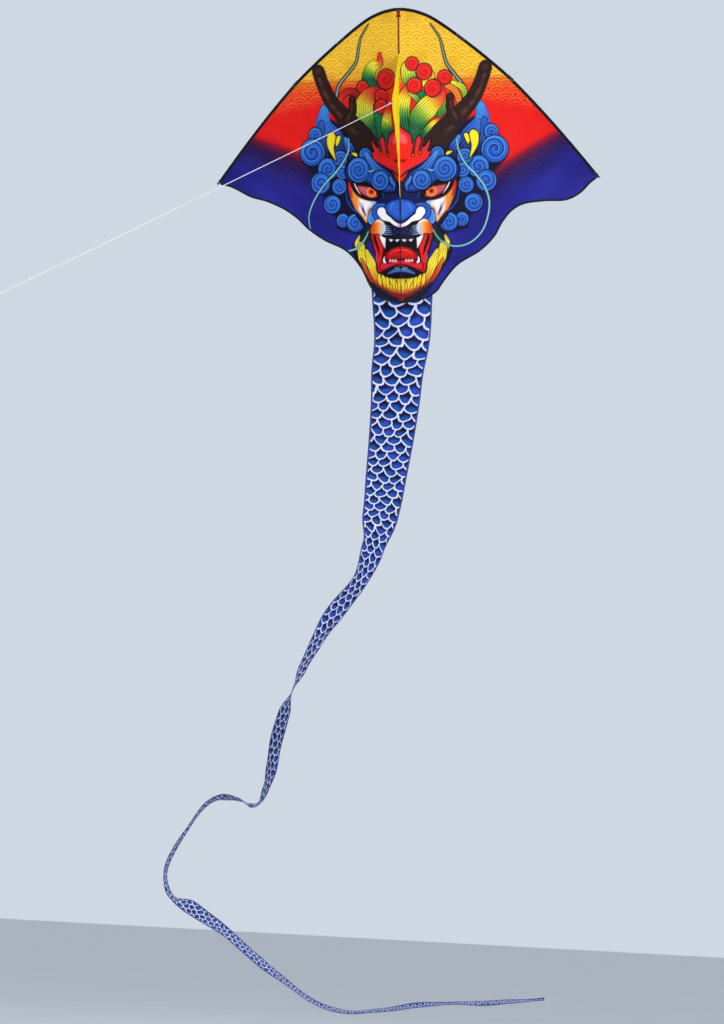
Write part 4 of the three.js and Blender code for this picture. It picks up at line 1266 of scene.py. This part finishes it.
def add_keel():
    corners = np.array(KEEL_CORNERS, float)
    rows, columns = 150, 90
    drops = np.linspace(KEEL_TOP + 1.5, KEEL_BOTTOM - 1.5, rows)
    reach = np.interp(drops, corners[:, 1], corners[:, 0])
    share = np.linspace(0, 1, columns)
    grid_reach = 0.9 + (reach - 1.2)[:, None] * share
    grid_drop = np.broadcast_to(drops[:, None], grid_reach.shape)
    places = np.stack((grid_reach, grid_drop), -1).reshape(-1, 2)
    faces = [tuple(f) for f in grid_faces(rows, columns)]
    middle = places[np.array(faces)].mean(1)
    kept = np.linalg.norm(middle - EYELET, axis=1) > EYELET_GAP
    faces = [face for face, keep in zip(faces, kept) if keep]
    piece = add_mesh("keel_cloth", keel_point(*places.T), faces, "keel", "yellow_keel")
    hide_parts("keel_panel")
    parts = [piece]
    for end, (first, last) in {"upper": corners[:2], "lower": corners[3:]}.items():
        ring = [keel_edge(first, last, depth, across) for depth, across in
                folded([(7.5, 0.7), (4, 1.0), (-0.3, 1.0)], -0.9, 7.9)]
        parts.append(add_strip(f"keel_hem_{end}", ring, "keel", "yellow_keel"))
        seams = [(keel_edge(first, last, 5, across), (across, 0, 0)) for across in (-1, 1)]
        parts.append(add_thread(f"keel_stitches_{end}", seams, "yellow_keel", "seam"))
    for part in parts:
        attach(part, "keel")


add_keel()


# ---------------------------------------------------------------- tail
# Where the tail's middle passes, in millimetres, and its turn about itself, in degrees.
TAIL_ROUTE = [
    (2, 722, -740, 0), (1, 742, -830, 0), (-12, 758, -965, 0), (-18, 772, -1130, 2), (-33, 788, -1345, 4),
    (-47, 798, -1495, 8), (-62, 808, -1655, 16), (-92, 822, -1830, 63), (-158, 838, -1993, 76),
    (-252, 853, -2128, 73), (-334, 866, -2266, 80), (-400, 879, -2390, 88), (-446, 890, -2502, 105),
    (-474, 900, -2605, 124), (-502, 913, -2725, 127), (-524, 925, -2845, 127), (-546, 934, -2940, 115),
    (-585, 941, -3016, 103), (-655, 941, -3002, 87), (-726, 940, -2994, 84), (-795, 943, -3012, 93),
    (-872, 950, -3095, 96), (-948, 962, -3215, 97), (-986, 974, -3335, 96), (-952, 984, -3430, 86),
    (-868, 988, -3476, 60), (-762, 994, -3540, 66), (-655, 1001, -3606, 70), (-540, 1009, -3686, 75),
    (-448, 1015, -3748, 78), (-340, 1022, -3824, 81), (-235, 1027, -3872, 84), (-125, 1028, -3882, 83),
    (0, 1027, -3869, 77), (180, 1024, -3843, 76), (330, 1022, -3822, 76), (480, 1021, -3808, 75),
    (620, 1020, -3797, 74), (728, 1019, -3786, 74),
]
ROUTE_STEPS = 60


def tail_line():
    """Dense points down the tail's middle, their distances and the tail's turn there."""
    top = -(KEEL_DEPTH + TAIL_STAND_OFF) * FRONT + (TAIL_DROP - TOW_DROP) * DOWN
    points = np.vstack((top, top + 80 * DOWN, np.array(TAIL_ROUTE)[:, :3]))
    turns = np.radians(np.concatenate(([0, 0], np.array(TAIL_ROUTE)[:, 3])))
    line = catmull(points, ROUTE_STEPS)
    ease = smoothstep(np.arange(ROUTE_STEPS) / ROUTE_STEPS)
    turn = (turns[:-1, None] + np.diff(turns)[:, None] * ease).ravel()
    return line, lengths_along(line), np.append(turn, turns[-1])


TAIL_LINE, TAIL_ALONG, TAIL_TURN = tail_line()
TAIL_LENGTH = TAIL_ALONG[-1]


def tail_half(s):
    share = np.clip((s - TAIL_WAIST_PLACE) / (TAIL_LENGTH - TAIL_WAIST_PLACE), 0, 1)
    lower = TAIL_WAIST_HALF + (TAIL_END_HALF - TAIL_WAIST_HALF) * share
    upper = TAIL_TOP_HALF + (TAIL_WAIST_HALF - TAIL_TOP_HALF) * s / TAIL_WAIST_PLACE
    return np.where(s < TAIL_WAIST_PLACE, upper, lower)


def tail_point(s, share, lift=0.0):
    """A point on the tail, s millimetres down it and at share -1 to 1 of its half width."""
    s, share = np.broadcast_arrays(np.asarray(s, float), np.asarray(share, float))
    centre = at_distances(TAIL_LINE, s.ravel()).reshape(*s.shape, 3)
    ahead = at_distances(TAIL_LINE, np.clip(s.ravel() + 4, 0, TAIL_LENGTH)).reshape(centre.shape)
    behind = at_distances(TAIL_LINE, np.clip(s.ravel() - 4, 0, TAIL_LENGTH)).reshape(centre.shape)
    along = unit(ahead - behind)
    depth = unit(np.array([0, 1, 0]) - along * along[..., 1:2])
    level = np.cross(along, depth)
    turn = np.interp(s, TAIL_ALONG, TAIL_TURN)[..., None]
    width = np.cos(turn) * level + np.sin(turn) * depth
    rear = unit(np.cross(width, along))
    offset = share * tail_half(s)
    fade = 1 - smoothstep((s - 60) / 460)
    free = smoothstep((s - 200) / 300)
    waves = 4.5 * share**2 * np.sin(s / 83) + 2.2 * share * np.sin(s / 57 + 1) + np.sin(s / 31 + 3 * share)
    camber = np.abs(offset) * FOLD_SLOPE * fade + free * waves + lift
    return (centre + width * offset[..., None] + rear * camber[..., None]) * MM


SCALES_ACROSS = (3.5, 2.7)  # at the top of the tail, and below its waist
SCALE_PITCH = 0.65          # from one row to the next, in scale widths
SCALE_RIM = ink(222, 224, 248)
SCALE_LOW = ink(25, 76, 172)
SCALE_TOP = ink(11, 13, 56)
SCALE_VIOLET = ink(62, 40, 150)
SCALE_GLOW = ink(6, 26, 24)


def scales_across(s):
    return np.interp(s, (800, 1700), SCALES_ACROSS)


def paint_scales(s, share):
    """Overlapping rounded scales with pale rims, the upper ones over the lower."""
    cloth = Print(share * tail_half(s), s)
    # Distances down the tail measured in rows, so that the scales shrink with the tail.
    steps = np.linspace(0, TAIL_LENGTH, 2000)
    row_height = SCALE_PITCH * 2 * tail_half(steps[1:]) / scales_across(steps[1:])
    rows_down = np.interp(s, steps, np.concatenate(([0], np.cumsum(np.diff(steps) / row_height))))
    across = (SCALES_ACROSS[0] + share * scales_across(s)) / 2
    drift = 0.08 * np.sin(1.7 * rows_down + 2 * share) + 0.06 * np.sin(4.3 * rows_down - 3 * share)
    rows_down = rows_down + 0.10 * np.sin(2.3 * across + 0.9 * rows_down) + 0.05 * np.sin(5 * across)
    across = across + drift
    colour, done = np.tile(ink(24, 44, 130), (len(s), 1)), np.zeros(len(s), bool)
    for k in range(0, 3):
        row = np.floor(rows_down) - 1 + k
        for shift in (-1, 0, 1):
            middle = np.floor(across - 0.5 * (row % 2)) + 0.5 + 0.5 * (row % 2) + shift
            seed = np.sin(row * 12.9 + middle * 78.2) * 43.7
            jitter = seed - np.floor(seed)
            u = across - middle - 0.10 * (jitter - 0.5)
            v = rows_down - row + 0.08 * (jitter - 0.5)
            size = 0.54 + 0.05 * jitter
            low = np.maximum(v - 0.7, 0) * 0.58
            d = size - np.hypot(u, low)
            inside = (d > 0) & (v > -0.1) & ~done
            rim = smoothstep((d - 0.085) / 0.035)[:, None]
            deep = smoothstep((1.3 - v) / 0.75 + 0.9 * np.maximum(np.abs(u) - 0.25, 0))[:, None]
            violet = 0.45 * (smoothstep(3 * jitter - 1.6) * smoothstep(0.5 + 2 * u))[:, None]
            glow = smoothstep(1 - np.hypot(u, v - 1.0) / 0.4)[:, None]
            edge = smoothstep(d / 0.02 + 0.3)[:, None]
            fill = SCALE_LOW + (SCALE_TOP - SCALE_LOW) * deep
            fill = fill + (SCALE_VIOLET - fill) * violet
            fill = fill * (0.84 + 0.2 * jitter)[:, None] + SCALE_GLOW * glow
            tint = SCALE_RIM + (fill - SCALE_RIM) * rim
            tint = tint * edge + NAVY * (1 - edge)
            colour[inside] = tint[inside]
            done |= inside
    cloth.ink[:] = colour
    return cloth


def add_tail_length(number, start, end, nodes, rests_on, carry):
    """One sewn length of the tail: its cloth, the two side hems and the rows of stitches."""
    s = np.linspace(start, end, int((end - start) / 2.9) + 1)
    share = np.linspace(-1, 1, 104)
    grid_s, grid_share = np.meshgrid(s, share, indexing="ij")
    faces = [tuple(f[::-1]) for f in grid_faces(len(s), len(share))]
    piece = add_mesh(f"tail_cloth_{number}", tail_point(grid_s, grid_share).reshape(-1, 3), faces, "print",
                     "printed_tail")
    print_on(piece, paint_scales(grid_s.ravel(), grid_share.ravel()))
    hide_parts(*nodes)
    edge_s = np.linspace(start, end, int((end - start) / 7) + 2)
    parts = [piece]
    half = tail_half(edge_s)
    for name, way in SIDES.items():
        ring = [tail_point(edge_s, way * (1 - reach / half), lift) for reach, lift in
                folded([(7, 0.7), (3, 1.0), (-0.4, 0.9)], -1.0, 7.4)]
        parts.append(add_strip(f"tail_hem_{number}_{name}", ring, "hem", "printed_tail"))
        seams = []
        for lift in (-1, 1):
            route, above = (tail_point(edge_s, way * (1 - 5 / half), lift * height) for height in (1, 3))
            seams.append((route, unit(above - route)))
        parts.append(add_thread(f"tail_stitches_{number}_{name}", seams, "printed_tail"))
    for part in parts:
        carry(part)


def bend_round():
    return lambda part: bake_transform(part)


TAIL_START, TAIL_SEAMS, TAIL_CURL_PLACE = 11.4, (1860, 3420), 2655
add_tail_length(1, TAIL_START, TAIL_SEAMS[0], ("tail_length_1", "tail_length_2"), ["tail_top_hem"],
                bend_round())
add_tail_length(2, *TAIL_SEAMS, ("tail_length_3", "tail_length_4"), ["tail_cloth_1"],
                bend_round())
add_tail_length(3, TAIL_SEAMS[1], TAIL_LENGTH - 1, ("tail_length_5", "tail_length_6"), ["tail_cloth_2"],
                lambda part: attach(part, "tail_lower"))


# ---------------------------------------------------------------- floor and light
bpy.context.scene.view_settings.view_transform = "Standard"   # printed colours stay saturated


FLOOR_LEVEL, FLOOR_R, FLOOR_SIDES = -4.4, 300, 48


def add_floor():
    look = Look("pale_floor", roughness=0.85)
    look.colour(look.mix(look.noise(2.0, 4.0), rgba((200, 202, 205)), rgba((208, 210, 213))))
    mesh = bpy.data.meshes.new("pale_floor")
    angles = np.arange(FLOOR_SIDES) * math.tau / FLOOR_SIDES
    corners = [(FLOOR_R * math.cos(a), FLOOR_R * math.sin(a), FLOOR_LEVEL) for a in angles]
    mesh.from_pydata(corners, [], [tuple(range(FLOOR_SIDES))])
    mesh.materials.append(look.material)
    floor = bpy.data.objects.new("pale_floor", mesh)
    bpy.context.scene.collection.objects.link(floor)


def add_light(name, place, aim, size, power):
    lamp = bpy.data.lights.new(name, "AREA")
    lamp.shape = "DISK"
    lamp.size = size
    lamp.energy = power
    light = bpy.data.objects.new(name, lamp)
    light.location = place
    light.rotation_euler = (Vector(aim) - Vector(place)).to_track_quat("-Z", "Y").to_euler()
    bpy.context.scene.collection.objects.link(light)


def add_world():
    world = bpy.data.worlds.new("pale_room")
    world.use_nodes = True
    background = world.node_tree.nodes["Background"]
    background.inputs["Color"].default_value = (0.76, 0.84, 0.93, 1)
    background.inputs["Strength"].default_value = 0.82
    bpy.context.scene.world = world


add_floor()
add_world()
add_light("key", (-3.5, -4.5, 3.0), (0, 0.3, -0.6), 3.0, 130)
add_light("fill", (4.0, -3.5, -1.5), (0, 0.3, -1.0), 3.0, 230)
add_light("back", (1.0, 5.0, 2.5), (0, 0.5, -1.0), 3.0, 150)
